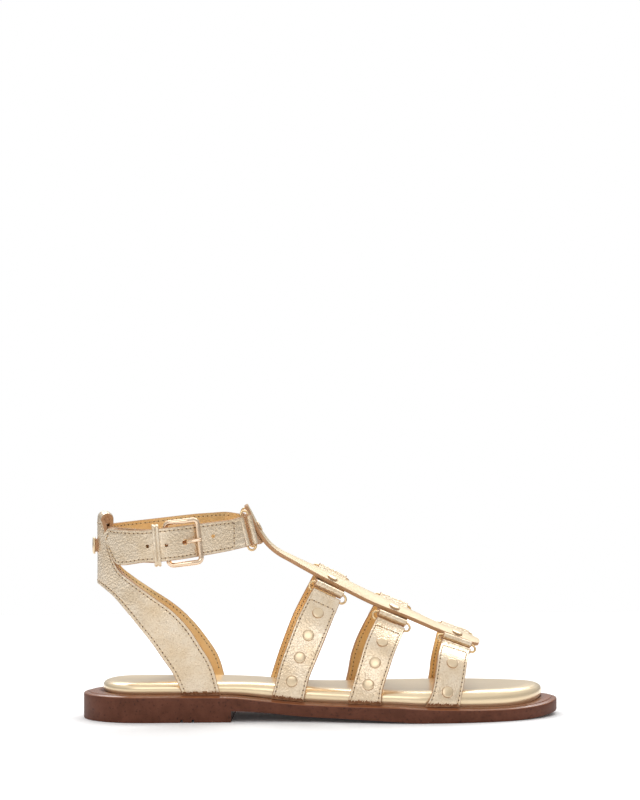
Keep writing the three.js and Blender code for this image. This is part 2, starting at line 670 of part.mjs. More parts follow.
// ---------- buckle, tongue and keeper ----------
function buckleFrame() {
  const { width, height, corner, bow } = buckle;
  const points = [];
  for (const [sx, sz, start] of [[1, 1, 0], [-1, 1, 90], [-1, -1, 180], [1, -1, 270]]) {
    for (let i = 0; i <= 3; i += 1) {
      const angle = rad(start + i * 30);
      const x = sx * (width / 2 - corner) + corner * Math.cos(angle);
      const z = sz * (height / 2 - corner) + corner * Math.sin(angle);
      points.push(vec(x, 0, z));
    }
    const side = { 0: [0, height / 2], 90: [-width / 2, 0], 180: [0, -height / 2], 270: [width / 2, 0] };
    points.push(vec(side[start][0], 0, side[start][1]));
  }
  for (const p of points) p.y = -bow * Math.max(0, 1 - (2 * p.x / width) ** 2);
  const path = new THREE.CatmullRomCurve3(points, true, 'centripetal');
  const tube = new THREE.TubeGeometry(path, 40, buckle.wire, 8, true);
  return tube.rotateY(-rad(buckle.turn)).translate(buckle.x, buckle.y, buckle.z);
}

function buckleTongue() {
  const path = new THREE.CatmullRomCurve3([
    vec(hingeX + 1.6, buckle.y + 1.2, 92.3),
    vec(48.0, buckle.y + 1.6, 92.4),
    vec(51.8, buckle.y + 0.2, 92.8),
    vec(54.4, buckle.y - 2.2, 93.2),
    vec(58.0, buckle.y - 2.9, 93.8),
    vec(61.2, buckle.y - 2.75, 94.2),
  ]);
  const section = new THREE.Shape();
  section.absarc(0, 0, 1.05, 0, 2 * Math.PI);
  const arm = new THREE.ExtrudeGeometry(section, { steps: 14, curveSegments: 4, extrudePath: path });
  const eye = rod(vec(hingeX, buckle.y, buckle.z), hingeLean, buckle.wire + gap + 0.9, 3, 12);
  const bore = rod(vec(hingeX, buckle.y, buckle.z), hingeLean, buckle.wire + gap, 6, 12);
  return fromSolid(solid(arm).add(solid(eye)).subtract(solid(bore)));
}

function roundedRect(half, high, corner) {
  const shape = new THREE.Shape();
  shape.absarc(half - corner, high - corner, corner, 0, Math.PI / 2);
  shape.absarc(corner - half, high - corner, corner, Math.PI / 2, Math.PI);
  shape.absarc(corner - half, corner - high, corner, Math.PI, 1.5 * Math.PI);
  shape.absarc(half - corner, corner - high, corner, 1.5 * Math.PI, 2 * Math.PI);
  shape.closePath();
  return shape;
}

function keeperLoop() {
  const { half, high, wall, width } = keeper;
  const shape = roundedRect(half + wall, high + wall, 2);
  shape.holes.push(roundedRect(half, high, 1));
  const geometry = new THREE.ExtrudeGeometry(shape, { depth: width, bevelEnabled: false, curveSegments: 3 });
  geometry.translate(0, 0, -width / 2);
  geometry.rotateX(Math.PI / 2).rotateZ(Math.PI / 2);
  return geometry.rotateY(-rad(keeper.turn)).translate(keeper.x, keeper.y, keeper.z);
}

// ---------- studs ----------
function dome(radius, height) {
  const profile = [[0, 0], [radius, 0], [radius, height * 0.35], [radius * 0.72, height * 0.85], [0, height]];
  return new THREE.LatheGeometry(profile.map(([r, y]) => new THREE.Vector2(r, y)), 10);
}

function studOn(point, normal, radius = studRadius, height = studHeight) {
  return placed(dome(radius, height), point.clone().addScaledVector(normal, gap + 0.05), normal);
}

function strapStud(strap, side, part) {
  const [rear, middle, front] = strapLines(strap, side);
  const across = front.getPoint(part).sub(rear.getPoint(part));
  const normal = across.cross(middle.getTangent(part)).normalize();
  if (normal.dot(sideways(side)) < 0) normal.negate();
  return studOn(middle.getPoint(part).addScaledVector(normal, strapThick), normal);
}

function tabStud(tab) {
  const f = spineFrame(tab.x);
  const s = 3;
  return studOn(onFrame(f, s, spineThick + crownAt(s)), f.normal);
}

// ---------- materials and assembly ----------
const material = (color, roughness, metalness) => (
  new THREE.MeshStandardMaterial({ color, roughness, metalness }));
const goldLeather = material(0xe2cba9, 0.42, 0.55);
const brownUnit = material(0x6b4332, 0.6, 0);
const goldMetal = material(0xe9cfa4, 0.18, 1);

const shoe = new THREE.Group();
function add(name, geometry, finish) {
  const mesh = new THREE.Mesh(geometry, finish);
  mesh.name = name;
  shoe.add(mesh);
}

add('outsole', outsole(), brownUnit);
add('footbed', footbed(), goldLeather);
add('instep_strap', instepStrap(), goldLeather);
add('heel_strap', heelStrap(), goldLeather);
add('ankle_strap_holed', holedStrap(), goldLeather);
add('ankle_strap_plain', plainStrap(), goldLeather);
add('buckle_frame', buckleFrame(), goldMetal);
add('buckle_tongue', buckleTongue(), goldMetal);
add('strap_keeper', keeperLoop(), goldLeather);

const sideNames = { lat: 'lateral', med: 'medial' };
for (const side of ['lat', 'med']) {
  for (const strap of sideStraps) {
    const label = `${sideNames[side]}_${strap.name}`;
    add(`side_strap_${label}`, sideStrap(strap, side), goldLeather);
    strap.studs.forEach((part, k) => add(`stud_${label}_${k + 1}`, strapStud(strap, side, part), goldMetal));
  }
  for (const tab of tabs) {
    add(`ring_${sideNames[side]}_${tab.name}`, wireRing(ringFrame(tab, side)), goldMetal);
  }
}
for (const tab of tabs) add(`stud_tab_${tab.name}`, tabStud(tab), goldMetal);
const rear = vec(oval.x - oval.back, 0, rearStud.z);
add('stud_rear', studOn(rear, vec(-1, 0, 0), rearStud.radius, rearStud.height), goldMetal);

// The origin is on the floor under the middle of the sole.
const ground = new THREE.Box3().setFromObject(shoe.getObjectByName('outsole'));
const middle = ground.getCenter(vec(0, 0, 0));
shoe.position.set(-middle.x, -middle.y, 0);

export default shoe;
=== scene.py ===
import bisect
import math

import bmesh
import bpy
import numpy as np
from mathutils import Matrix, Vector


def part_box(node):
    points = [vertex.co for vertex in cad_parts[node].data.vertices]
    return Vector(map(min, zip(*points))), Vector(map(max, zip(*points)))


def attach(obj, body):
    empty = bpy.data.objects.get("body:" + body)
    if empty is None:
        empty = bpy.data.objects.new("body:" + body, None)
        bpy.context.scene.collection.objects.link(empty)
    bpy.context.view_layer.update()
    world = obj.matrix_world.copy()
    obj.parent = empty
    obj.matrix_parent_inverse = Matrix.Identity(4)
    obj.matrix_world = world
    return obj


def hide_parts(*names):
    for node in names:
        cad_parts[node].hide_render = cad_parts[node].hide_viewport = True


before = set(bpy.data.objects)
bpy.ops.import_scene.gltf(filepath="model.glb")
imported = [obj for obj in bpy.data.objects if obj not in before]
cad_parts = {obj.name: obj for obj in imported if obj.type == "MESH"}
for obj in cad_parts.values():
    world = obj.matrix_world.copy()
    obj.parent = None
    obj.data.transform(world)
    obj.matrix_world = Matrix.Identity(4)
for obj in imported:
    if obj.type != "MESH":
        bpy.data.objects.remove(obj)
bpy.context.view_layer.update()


# ---------------------------------------------------------------------------
# The table. One right-foot sandal stands on a white sweep under soft light from all round,
# with a large softbox above and behind it, and a smaller one in front that puts a sheen on
# the leather.
# ---------------------------------------------------------------------------
def linear(code):
    """Linear RGBA of an sRGB hex colour."""
    parts = [int(code[i:i + 2], 16) / 255 for i in (0, 2, 4)]
    return tuple(c / 12.92 if c <= 0.04045 else ((c + 0.055) / 1.055) ** 2.4 for c in parts) + (1.0,)


scene = bpy.context.scene
scene.view_settings.view_transform = "Standard"

camera_data = bpy.data.cameras.new("camera")
camera_data.lens = 127.8
camera_data.sensor_width = 36.0
camera_data.clip_start = 0.05
camera = bpy.data.objects.new("camera", camera_data)
camera.location = (-0.11065, -1.4913, 0.166)
camera.rotation_euler = (math.radians(90), 0.0, math.radians(-4.2))
scene.collection.objects.link(camera)
scene.camera = camera


def softbox(name, place, aim, size, power):
    """A square area light at a place, turned to a point it lights."""
    data = bpy.data.lights.new(name, "AREA")
    data.shape = "RECTANGLE"
    data.size, data.size_y = size
    data.energy = power
    lamp = bpy.data.objects.new(name, data)
    lamp.location = place
    direction = np.array(aim) - np.array(place)
    yaw = math.atan2(direction[0], direction[1])
    fall = math.atan2(-direction[2], math.hypot(direction[0], direction[1]))
    lamp.rotation_euler = (math.radians(90) - fall, 0.0, -yaw)
    scene.collection.objects.link(lamp)


softbox("overhead_softbox", (0.05, 0.75, 0.85), (0.0, 0.1, 0.0), (1.3, 0.55), 8.5)
softbox("front_softbox", (-0.2, -1.1, 0.55), (0.0, 0.0, 0.05), (0.7, 0.55), 1.9)


def put(tree, kind, inputs=None, **settings):
    """Adds a node, with its settings, and its inputs as values or as links from other sockets."""
    made = tree.nodes.new(kind)
    for key, value in settings.items():
        setattr(made, key, value)
    for key, value in (inputs or {}).items():
        if isinstance(value, bpy.types.NodeSocket):
            tree.links.new(value, made.inputs[key])
        else:
            made.inputs[key].default_value = value
    return made


# The surround is plain white to the eye. As a light it is bright overhead and dims to under
# half towards the horizon, which gives metallic leather its shading.
world = bpy.data.worlds.new("soft_surround")
world.use_nodes = True
tree = world.node_tree
seen = put(tree, "ShaderNodeBackground", {"Color": linear("FFFFFF"), "Strength": 1.0})
ray = put(tree, "ShaderNodeLightPath")
aim = put(tree, "ShaderNodeTexCoord").outputs["Generated"]
rise = put(tree, "ShaderNodeSeparateXYZ", {"Vector": aim}).outputs["Z"]
climb = put(tree, "ShaderNodeMapRange",
            {"Value": rise, "From Min": 0.05, "From Max": 0.75, "To Min": 0.42, "To Max": 0.92},
            interpolation_type="SMOOTHSTEP")
light = put(tree, "ShaderNodeBackground", {"Color": linear("FFFFFF"), "Strength": climb.outputs["Result"]})
both = put(tree, "ShaderNodeMixShader",
           {"Fac": ray.outputs["Is Camera Ray"], 1: light.outputs["Background"],
            2: seen.outputs["Background"]})
tree.links.new(both.outputs["Shader"], tree.nodes["World Output"].inputs["Surface"])
scene.world = world


def finish(name, **sockets):
    """A material with its shader set from the given sockets."""
    material = bpy.data.materials.new(name)
    material.use_nodes = True
    tree = material.node_tree
    shader = tree.nodes["Principled BSDF"]
    for key, value in sockets.items():
        shader.inputs[key.replace("_", " ")].default_value = value
    where = put(tree, "ShaderNodeTexCoord").outputs["Object"]
    return material, tree, shader, where


def mottled(name, low, high, size, detail, emboss=None, pores=None, rubbed=None, **sockets):
    """A finish that drifts between two hex colours, in patches of a size in millimetres.

    An emboss is the (strength, depth) of a bump, which follows the patches or the pores, if
    their (size, detail) is given. A rubbed finish drifts between two roughnesses as well."""
    material, tree, shader, where = finish(name, **sockets)
    drift = put(tree, "ShaderNodeTexNoise", {"Vector": where, "Scale": 1000 / size, "Detail": detail})
    base = put(tree, "ShaderNodeMixRGB",
               {"Fac": drift.outputs["Fac"], "Color1": linear(low), "Color2": linear(high)})
    tree.links.new(base.outputs["Color"], shader.inputs["Base Color"])
    if rubbed:
        dull = put(tree, "ShaderNodeMapRange", {"Value": drift.outputs["Fac"], "From Min": 0.4,
                                                "From Max": 0.75, "To Min": rubbed[0], "To Max": rubbed[1]})
        tree.links.new(dull.outputs["Result"], shader.inputs["Roughness"])
    if pores:
        drift = put(tree, "ShaderNodeTexNoise",
                    {"Vector": where, "Scale": 1000 / pores[0], "Detail": pores[1]})
    if emboss:
        bump = put(tree, "ShaderNodeBump",
                   {"Height": drift.outputs["Fac"], "Strength": emboss[0], "Distance": emboss[1]})
        tree.links.new(bump.outputs["Normal"], shader.inputs["Normal"])
    return material


# Matt white card: fine paper tooth and no gloss, with the slightest glow of its own, so that
# its far edge fades into the white.
white_card = mottled("matt_white_card", "F9F9F9", "FEFEFE", size=1.11, detail=2.0,
                     Roughness=0.9, Emission_Strength=0.02, Emission_Color=linear("FFFFFF"))

floor_mesh = bpy.data.meshes.new("floor")
floor_front, floor_back, floor_side = -1.3, 0.7, 1.2
floor_mesh.from_pydata(
    [(-floor_side, floor_front, 0), (floor_side, floor_front, 0),
     (floor_side, floor_back, 0), (-floor_side, floor_back, 0)], [], [(0, 1, 2, 3)])
floor_mesh.materials.append(white_card)
floor = bpy.data.objects.new("floor", floor_mesh)
scene.collection.objects.link(floor)


# ---------------------------------------------------------------------------
# Outsole: one moulded unit in brown rubber, low heel and forepart together, with a flat rim
# and a stitch groove round its top edge. The heel has two narrow cross slots in its tread,
# and the forepart and heel have fine grip channels.
# ---------------------------------------------------------------------------
sole_length = 250.0
tip_y = 5.0
sole_edges = dict(
    x=(35, 62, 92, 115, 135, 155, 172, 186),
    lat=(31.4, 31.2, 31.0, 33.4, 38.2, 42.8, 44.5, 44.2),
    med=(29.8, 28.3, 25.2, 25.6, 30.0, 36.2, 41.2, 43.0),
)
sole_profile = dict(
    x=(0, 60, 80, 94, 114, 135, 160, 172, 200, 222, 238, 250),
    rim=(14.2, 14.0, 13.5, 12.0, 10.1, 9.5, 9.1, 8.4, 7.5, 7.3, 8.0, 9.6),
    under=(6.5, 6.0, 5.6, 4.9, 2.9, 2.0, 0.8, 0, 0, 0, 0.9, 2.2),
    bed=(20.2, 20.2, 20.1, 19.5, 17.6, 16.6, 16.2, 16.0, 16.0, 16.0, 16.3, 16.8),
)
widest = dict(lat=172, med=186)
heel_breast = 78.4
breast_lean = 5.5
heel_slots = (52.5, 58.5)
slot_half, slot_depth = 0.64, 1.5
grip = dict(pitch=5.0, sway=1.6, bend=3.2, land=0.36, depth=0.7, border=7)
grip_zones = ((0, 46), (66, 74), (150, 234))
heel_round = 35


def along(table, x, column):
    """Smooth value of one column of a table, at x."""
    xs, ys = table["x"], table[column]
    x = min(max(x, xs[0]), xs[-1])
    i = min(max(bisect.bisect_left(xs, x) - 1, 0), len(xs) - 2)

    def slope(k):
        a, b = max(k - 1, 0), min(k + 1, len(xs) - 1)
        return (ys[b] - ys[a]) / (xs[b] - xs[a]) if ys[i] != ys[i + 1] else 0.0
    step = xs[i + 1] - xs[i]
    t = (x - xs[i]) / step
    return (ys[i] * (2 * t**3 - 3 * t**2 + 1) + slope(i) * step * (t**3 - 2 * t**2 + t)
            + ys[i + 1] * (3 * t**2 - 2 * t**3) + slope(i + 1) * step * (t**3 - t**2))


def sole_half(x, side):
    """Half width of the sole on one side."""
    if x < heel_round:
        return along(sole_edges, heel_round, side) * math.sqrt(1 - ((heel_round - x) / heel_round) ** 2.4)
    if x <= widest[side]:
        return along(sole_edges, x, side)
    tip = -tip_y if side == "lat" else tip_y
    reach = (x - widest[side]) / (sole_length - widest[side])
    power = 2.3 if side == "lat" else 2.4
    return tip + (along(sole_edges, widest[side], side) - tip) * math.sqrt(max(0, 1 - reach**power))


def rim_z(x):
    return along(sole_profile, x, "rim")


side_sign = dict(lat=-1, med=1)
side_words = dict(lat="lateral", med="medial")
centre_y = (max(sole_half(x, "med") for x in range(251)) - max(sole_half(x, "lat") for x in range(251))) / 2


def solid(name, points, faces, kinds, materials):
    """A mesh object with its faces turned outward."""
    mesh = bpy.data.meshes.new(name)
    mesh.from_pydata(points, [], faces)
    for material in materials:
        mesh.materials.append(material)
    mesh.polygons.foreach_set("material_index", kinds)
    body = bmesh.new()
    body.from_mesh(mesh)
    bmesh.ops.recalc_face_normals(body, faces=body.faces)
    body.to_mesh(mesh)
    body.free()
    made = bpy.data.objects.new(name, mesh)
    scene.collection.objects.link(made)
    return made


def piece(name, part, materials, replaces=(), crease=38):
    """A part of the shoe, from points in millimetres, faces and face materials."""
    points, faces, kinds = part
    points = (np.asarray(points, dtype=float) - (sole_length / 2, centre_y, 0)) / 1000
    made = solid(name, points, faces, kinds, materials)
    made.data.shade_smooth()
    made.data.set_sharp_from_angle(angle=math.radians(crease))
    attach(made, "root")
    if replaces:
        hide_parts(*replaces)
    return made


def sole_loop(stations, inset, lean=lambda x: 0.0):
    """Points round the sole, in from its edge: up the lateral side, back down the medial side."""
    edge = [(x - lean(x), -sole_half(x - lean(x), "lat")) for x in stations]
    edge += [(x + lean(x), sole_half(x + lean(x), "med")) for x in stations[-2:0:-1]]
    edge[0] = (edge[0][0], 0.0)
    edge = np.array(edge)
    run = np.roll(edge, -1, axis=0) - np.roll(edge, 1, axis=0)
    run /= np.linalg.norm(run, axis=1)[:, None]
    inset = np.array([inset(x) for x in edge[:, 0]]) if callable(inset) else inset
    return edge + np.stack([-run[:, 1], run[:, 0]], axis=1) * np.reshape(inset, (-1, 1))


def sleeve(rows, count, closed=False):
    """Faces between rows of points that each run round in a ring."""
    faces = []
    for r in range(rows if closed else rows - 1):
        near, far = r * count, (r + 1) % rows * count
        faces += [(near + k, near + (k + 1) % count, far + (k + 1) % count, far + k) for k in range(count)]
    return faces


def slab(loops, columns, bottom_relief, top_relief):
    """Points and faces of a slab from loops round the sole, closed below and above by grids."""
    count = len(loops[0])
    points = [tuple(p) for loop in loops for p in loop]
    faces = sleeve(len(loops), count)
    for start, relief in ((0, bottom_relief), ((len(loops) - 1) * count, top_relief)):
        before = [start] * (columns + 1)
        for k in range(1, count // 2):
            left, right = np.array(points[start + k]), np.array(points[start + count - k])
            row = [start + k]
            for j in range(1, columns):
                point = left + (right - left) * j / columns
                point[2] += relief(point, left, right)
                row.append(len(points))
                points.append(tuple(point))
            row.append(start + count - k)
            faces += [tuple(dict.fromkeys((before[j], before[j + 1], row[j + 1], row[j])))
                      for j in range(columns)]
            before = row
        tip = start + count // 2
        faces += [(before[j], before[j + 1], tip) for j in range(columns)]
    return points, faces


def outsole_lean(x):
    return breast_lean / 2 * max(0.0, 1 - ((x - heel_breast) / heel_breast) ** 2) ** 2


cuts = [heel_breast - 0.02, heel_breast + 0.02]
for slot_x in heel_slots:
    cuts += [slot_x + end * (slot_half + wall) for end in (-1, 1) for wall in (-0.02, 0.02)]
stations = [sole_length * (1 - math.cos(math.pi * i / 240)) / 2 for i in range(241)]
stations = [x for x in stations if min(abs(x - c) for c in cuts) > 0.15 or x in (0, sole_length)]
stations = sorted(stations + cuts)
stations_round = stations + stations[-2:0:-1]


def under_z(x):
    if x > heel_breast:
        return along(sole_profile, x, "under")
    return slot_depth if min(abs(x - s) for s in heel_slots) < slot_half else 0.0


def tread(point, left, right):
    """Depth of the grip channels cut in the tread, well inside its edge."""
    x, y = point[0], point[1]
    edge = min(y - left[1], right[1] - y)
    wave = abs((x + grip["sway"] * math.sin(y / grip["bend"])) / grip["pitch"] % 1 - 0.5)
    cut = edge >= grip["border"] and wave >= grip["land"] and any(a < x < b for a, b in grip_zones)
    return grip["depth"] if cut else 0.0


under_line = np.array([under_z(x) for x in stations_round])
rim_line = np.array([rim_z(x) for x in stations_round])
# Insets from the edge, with heights over the tread and then depths under the rim.
tread_edge = ((0.6, 0.0), (0.16, 0.12), (0.0, 0.5))
wall_edge = ((0.0, 3.0), (0.0, 1.75))
rim_edge = ((0.1, 1.35), (0.35, 1.05), (0.75, 0.85), (2.2, 0.45), (2.4, 0.72),
            (2.75, 0.65), (2.95, 0.25), (4.2, -0.1), (8.0, -0.1))
loops = [np.column_stack([sole_loop(stations, inset, outsole_lean), under_line + lift])
         for inset, lift in tread_edge]
loops += [np.column_stack([sole_loop(stations, inset, outsole_lean),
                           np.maximum(rim_line - drop, under_line + 0.6)])
          for inset, drop in wall_edge + rim_edge]
points, faces = slab(loops, 26, tread, lambda *_: 0.0)
ring = len(stations_round)
rim_start = ring * len(tread_edge + wall_edge)
# Kind 1 is the rim, whose colour is partly painted light.
kinds = [int(min(face) >= rim_start and k < ring * len(loops)) for k, face in enumerate(faces)]

# Brown moulded rubber unit: satin, faintly mottled where the pigment has not mixed, with a
# fine leathery grain from the mould.
brown_rubber, tree, shader, where = finish("brown_moulded_rubber", Roughness=0.55, Specular_IOR_Level=0.22)
cloud = put(tree, "ShaderNodeTexNoise",
            {"Vector": where, "Scale": 1000 / 7.69, "Detail": 4.0, "Roughness": 0.6})
fleck = put(tree, "ShaderNodeTexNoise",
            {"Vector": where, "Scale": 1000 / 1.61, "Detail": 3.0, "Roughness": 0.65})
tone = put(tree, "ShaderNodeMapRange", {"Value": cloud.outputs["Fac"], "From Min": 0.35, "From Max": 0.65})
base = put(tree, "ShaderNodeMixRGB",
           {"Fac": tone.outputs["Result"], "Color1": linear("58301F"), "Color2": linear("683C2B")})
dark = put(tree, "ShaderNodeMapRange", {"Value": fleck.outputs["Fac"], "From Min": 0.56, "From Max": 0.72})
speck = put(tree, "ShaderNodeMixRGB",
            {"Fac": dark.outputs["Result"], "Color1": base.outputs["Color"], "Color2": linear("391D13")})
tree.links.new(speck.outputs["Color"], shader.inputs["Base Color"])
bump = put(tree, "ShaderNodeBump", {"Height": fleck.outputs["Fac"], "Strength": 0.25, "Distance": 0.0003})
tree.links.new(bump.outputs["Normal"], shader.inputs["Normal"])

# Rim: the same rubber with a wet-looking gloss. Its lighter, oranger tan is partly painted light:
# the lit top face and a warm reflection of the gold footbed.
rim_rubber_painted_light = mottled("rim_rubber_painted_light", "743F1F", "95562C", size=4.76, detail=4.0, emboss=(0.2, 0.0003),
                    Roughness=0.26, Specular_IOR_Level=0.6)

piece("outsole_unit", (points, faces, kinds), [brown_rubber, rim_rubber_painted_light], ["outsole"])


# ---------------------------------------------------------------------------
# Footbed: a thin padded board wrapped in smooth gold leather. The leather rolls over a
# bull-nose edge and is pressed in along the shoulder; the board is cemented to the rim.
# ---------------------------------------------------------------------------
gap = 0.3
laid = 0.05
rim_inset = 5.0
heel_draw, heel_run = 5.2, 22
toe_draw, toe_run = 3.2, 28


def bed_inset(more):
    """Inset of the footbed, which draws in further at the heel and the toe."""
    return lambda x: (rim_inset + more + heel_draw * max(0, 1 - x / heel_run) ** 1.5
                      + toe_draw * max(0, (x - sole_length + toe_run) / toe_run) ** 1.5)


bed_stations = [sole_length * (1 - math.cos(math.pi * i / 200)) / 2 for i in range(201)]
bed_round = bed_stations + bed_stations[-2:0:-1]
# The wrapped edge, as insets and parts of the way up, then the hollows of the foot side, as
# their middles, spreads and depths.
bed_profile = ((0.9, 0.0), (0.4, 0.1), (0.1, 0.24), (0.0, 0.38), (0.06, 0.52), (0.3, 0.64), (0.75, 0.74),
               (1.3, 0.805), (1.75, 0.84), (1.95, 0.825), (2.15, 0.85), (2.8, 0.895), (4.0, 0.94),
               (5.6, 0.975), (8.0, 1.0))
hollows = ((36, 24, 0.7), (178, 32, 0.5))
loops = []
for inset, part in bed_profile:
    heights = [rim_z(x) + laid + (along(sole_profile, x, "bed") - rim_z(x) - laid) * part for x in bed_round]
    loops.append(np.column_stack([sole_loop(bed_stations, bed_inset(inset)), heights]))


def bed_relief(point, left, right):
    """The foot side is pressed a little hollow under the heel and the ball."""
    across = (point[1] - left[1]) / max(right[1] - left[1], 1e-6)
    press = sum(depth * math.exp(-((point[0] - middle) / spread) ** 2) for middle, spread, depth in hollows)
    return -4 * across * (1 - across) * press


points, faces = slab(loops, 22, lambda *_: 0.0, bed_relief)

# Smooth metallic-coated leather: nearly mirror-like under a soft satin, with faint creasing.
smooth_gold = mottled("smooth_metallic_leather", "E8D0A8", "F4E0BE", size=16.7, detail=3.0,
                      emboss=(0.12, 0.0002), pores=(0.714, 2.0),
                      Metallic=0.78, Roughness=0.28, Coat_Weight=0.25, Coat_Roughness=0.12)

bed = piece("footbed_board", (points, faces, [0] * len(faces)), [smooth_gold], ["footbed"])


# ---------------------------------------------------------------------------
# Side straps: three pairs of folded strips of tumbled gold leather, lined and edge painted,
# sewn along both edges. Each is lasted under the footbed and turned over a ring's lower bar,
# where a cross seam gathers the leather a little.
# ---------------------------------------------------------------------------
strap_inset = 4.1
strap_thick = 2.2
strap_width_at_ring = 16.0
spine_thick = 2.0
spine_half = 7.0
spine_crown = 30.0
tab_thick = 1.3
bar_reach = 2.3
bar_clear = 1.45
wire = 0.6
roll_outer = 1.55
stitch_pitch = 2.4
thread_length, thread_radius = 1.5, 0.2
needle_hole = (0.42, 0.3)
edge_seam, side_seam = 1.85, 1.35
arch_crest = dict(
    x=(90, 107, 128, 147, 165, 188, 206),
    z=(100, 83.6, 73.2, 63.8, 55.8, 45.7, 39.5),
    y=(2, 4, 4.5, 4.5, 4.5, 4, 3.5),
)
spine_rows = dict(
    x=(84.0, 86.3, 90.0, 95.2, 101.0, 108.0, 120.0, 137.6, 151.6, 170.7, 187.8, 200.0, 207.8),
    z=(110.6, 106.5, 99.5, 91.6, 86.4, 82.6, 76.5, 67.9, 61.0, 52.8, 45.2, 40.6, 37.2),
    roll=(3, 3, 4, 4, 5, 7, 12, 16, 17, 13, 11, 12, 12),
)
tabs = {
    "1": dict(x=129.9, pitch=None, lat=(14.6, 3.3, 60), med=(14.6, 1.9, 55)),
    "2": dict(x=162.7, pitch=None, lat=(15.4, 2.5, 47), med=(15.1, 1.8, 50)),
    "3": dict(x=195.9, pitch=None, lat=(14.2, 0.9, 38), med=(14.4, 1.5, 40)),
    "ankle": dict(x=90.2, pitch=76, lat=(13.8, 4.0, 65), med=(13.8, 4.0, 65)),
}
# Each row of a side strap: rear edge x, z, front edge x, z, and how much further forward the
# medial strap is. The first row lies on the rim.
side_straps = {
    "1": dict(rows=((96.7, None, 113.3, None, 0.5), (101.0, 28.0, 116.2, 22.0, 1.2),
                    (105.9, 41.0, 121.3, 34.0, 0.8), (111.0, 53.0, 126.3, 45.5, 0.5)),
              studs=4),
    "2": dict(rows=((135.6, None, 152.7, None, 3.0), (138.6, 19.0, 153.5, 16.5, 2.6),
                    (142.0, 30.0, 156.4, 25.0, 1.2), (145.8, 41.0, 160.3, 35.0, 1.2)),
              studs=3),
    "3": dict(rows=((175.4, None, 192.7, None, 8.0), (178.7, 16.0, 194.2, 14.5, 7.0),
                    (180.8, 25.0, 196.2, 22.0, 5.5), (182.7, 33.0, 198.0, 28.8, 4.5)),
              studs=2),
}


def vec(x, y, z):
    return np.array([x, y, z], dtype=float)


def unit(v):
    return v / np.linalg.norm(v, axis=-1, keepdims=True)


def arch_point(x, z, side):
    """A point on the foot form's side, at a length and a height."""
    crest_y = along(arch_crest, x, "y")
    foot = rim_z(x) + gap
    base = side_sign[side] * (sole_half(x, side) - strap_inset)
    high = min(max((z - foot) / (along(arch_crest, x, "z") - foot), 0), 0.999)
    out = (1 - high ** (1 / 0.56)) ** (1 / 1.85)
    return vec(x, crest_y + (base - crest_y) * out, z)


def spine_frame(x, pitch=None):
    """Point, forward, across to the lateral side, and normal of the spine."""
    slope = along(spine_rows, x + 0.5, "z") - along(spine_rows, x - 0.5, "z")
    fall = math.atan(-slope) if pitch is None else math.radians(pitch)
    up = vec(math.sin(fall), 0, math.cos(fall))
    roll = math.radians(along(spine_rows, x, "roll"))
    lateral = vec(0, -1, 0)
    across = lateral * math.cos(roll) - up * math.sin(roll)
    normal = up * math.cos(roll) + lateral * math.sin(roll)
    return vec(x, 0, along(spine_rows, x, "z")), vec(math.cos(fall), 0, -math.sin(fall)), across, normal


def ring_frame(tab, side):
    """Centre, forward, outward and normal of the ring beside a tab."""
    at, forward, across, normal = spine_frame(tabs[tab]["x"], tabs[tab]["pitch"])
    sign = -side_sign[side]
    out, down, tilt = tabs[tab][side]
    cos, sin = math.cos(math.radians(tilt)), math.sin(math.radians(tilt))
    centre = at + across * sign * out - normal * down
    return centre, forward, across * sign * cos - normal * sin, across * sign * sin + normal * cos


def smooth(p0, p1, m0, m1, t):
    """Cubic between two values with their slopes."""
    return (p0 * (2 * t**3 - 3 * t**2 + 1) + m0 * (t**3 - 2 * t**2 + t)
            + p1 * (3 * t**2 - 2 * t**3) + m1 * (t**3 - t**2))


def net_length(net):
    """Distance of each row along a net, and 0 for its first row."""
    steps = np.linalg.norm(np.diff(net, axis=0), axis=2).mean(axis=1)
    return np.concatenate([[0], np.cumsum(steps)])


def slopes(values, knots):
    inside = (values[2:] - values[:-2]) / (knots[2:] - knots[:-2])[:, None, None]
    first = (values[1] - values[0]) / (knots[1] - knots[0])
    last = (values[-1] - values[-2]) / (knots[-1] - knots[-2])
    return np.concatenate([first[None], inside, last[None]])


def net_rows(net, distance):
    """Rows of the smooth surface through a net, at distances along it."""
    knots = net_length(net)
    i = np.clip(np.searchsorted(knots, distance, side="right") - 1, 0, len(knots) - 2)
    step = (knots[i + 1] - knots[i])[:, None, None]
    m = slopes(net, knots)
    return smooth(net[i], net[i + 1], m[i] * step, m[i + 1] * step,
                  (distance - knots[i])[:, None, None] / step)


def on_net(net, distance, part):
    """Points on the smooth surface through a net: distances along it, and parts 0 to 1 across."""
    rows = net_rows(net, distance)
    columns = net.shape[1]
    across = slopes(np.swapaxes(rows, 0, 1), np.arange(columns, dtype=float))
    across = np.swapaxes(across, 0, 1)
    place = part * (columns - 1)
    j = np.clip(np.floor(place).astype(int), 0, columns - 2)
    n = np.arange(len(distance))[:, None]
    t = (place - j)[:, :, None]
    return smooth(rows[n, j], rows[n, j + 1], across[n, j], across[n, j + 1], t)


def on_strap(net, distance, part, height, outward):
    """Points at heights over a net's surface, on its outward side, and the normals there."""
    base = on_net(net, distance, part)
    nudge = 0.05
    ahead = on_net(net, distance + nudge, part) - on_net(net, distance - nudge, part)
    aside = on_net(net, distance, part + 0.01) - on_net(net, distance, part - 0.01)
    normal = unit(np.cross(ahead, aside)) * outward
    return base + normal * height[:, :, None], normal


def net_width(net, run):
    """Width of a net at distances along it."""
    lines = on_net(net, run, np.tile([0.0, 1.0], (len(run), 1)))
    return np.linalg.norm(lines[:, 1] - lines[:, 0], axis=1)


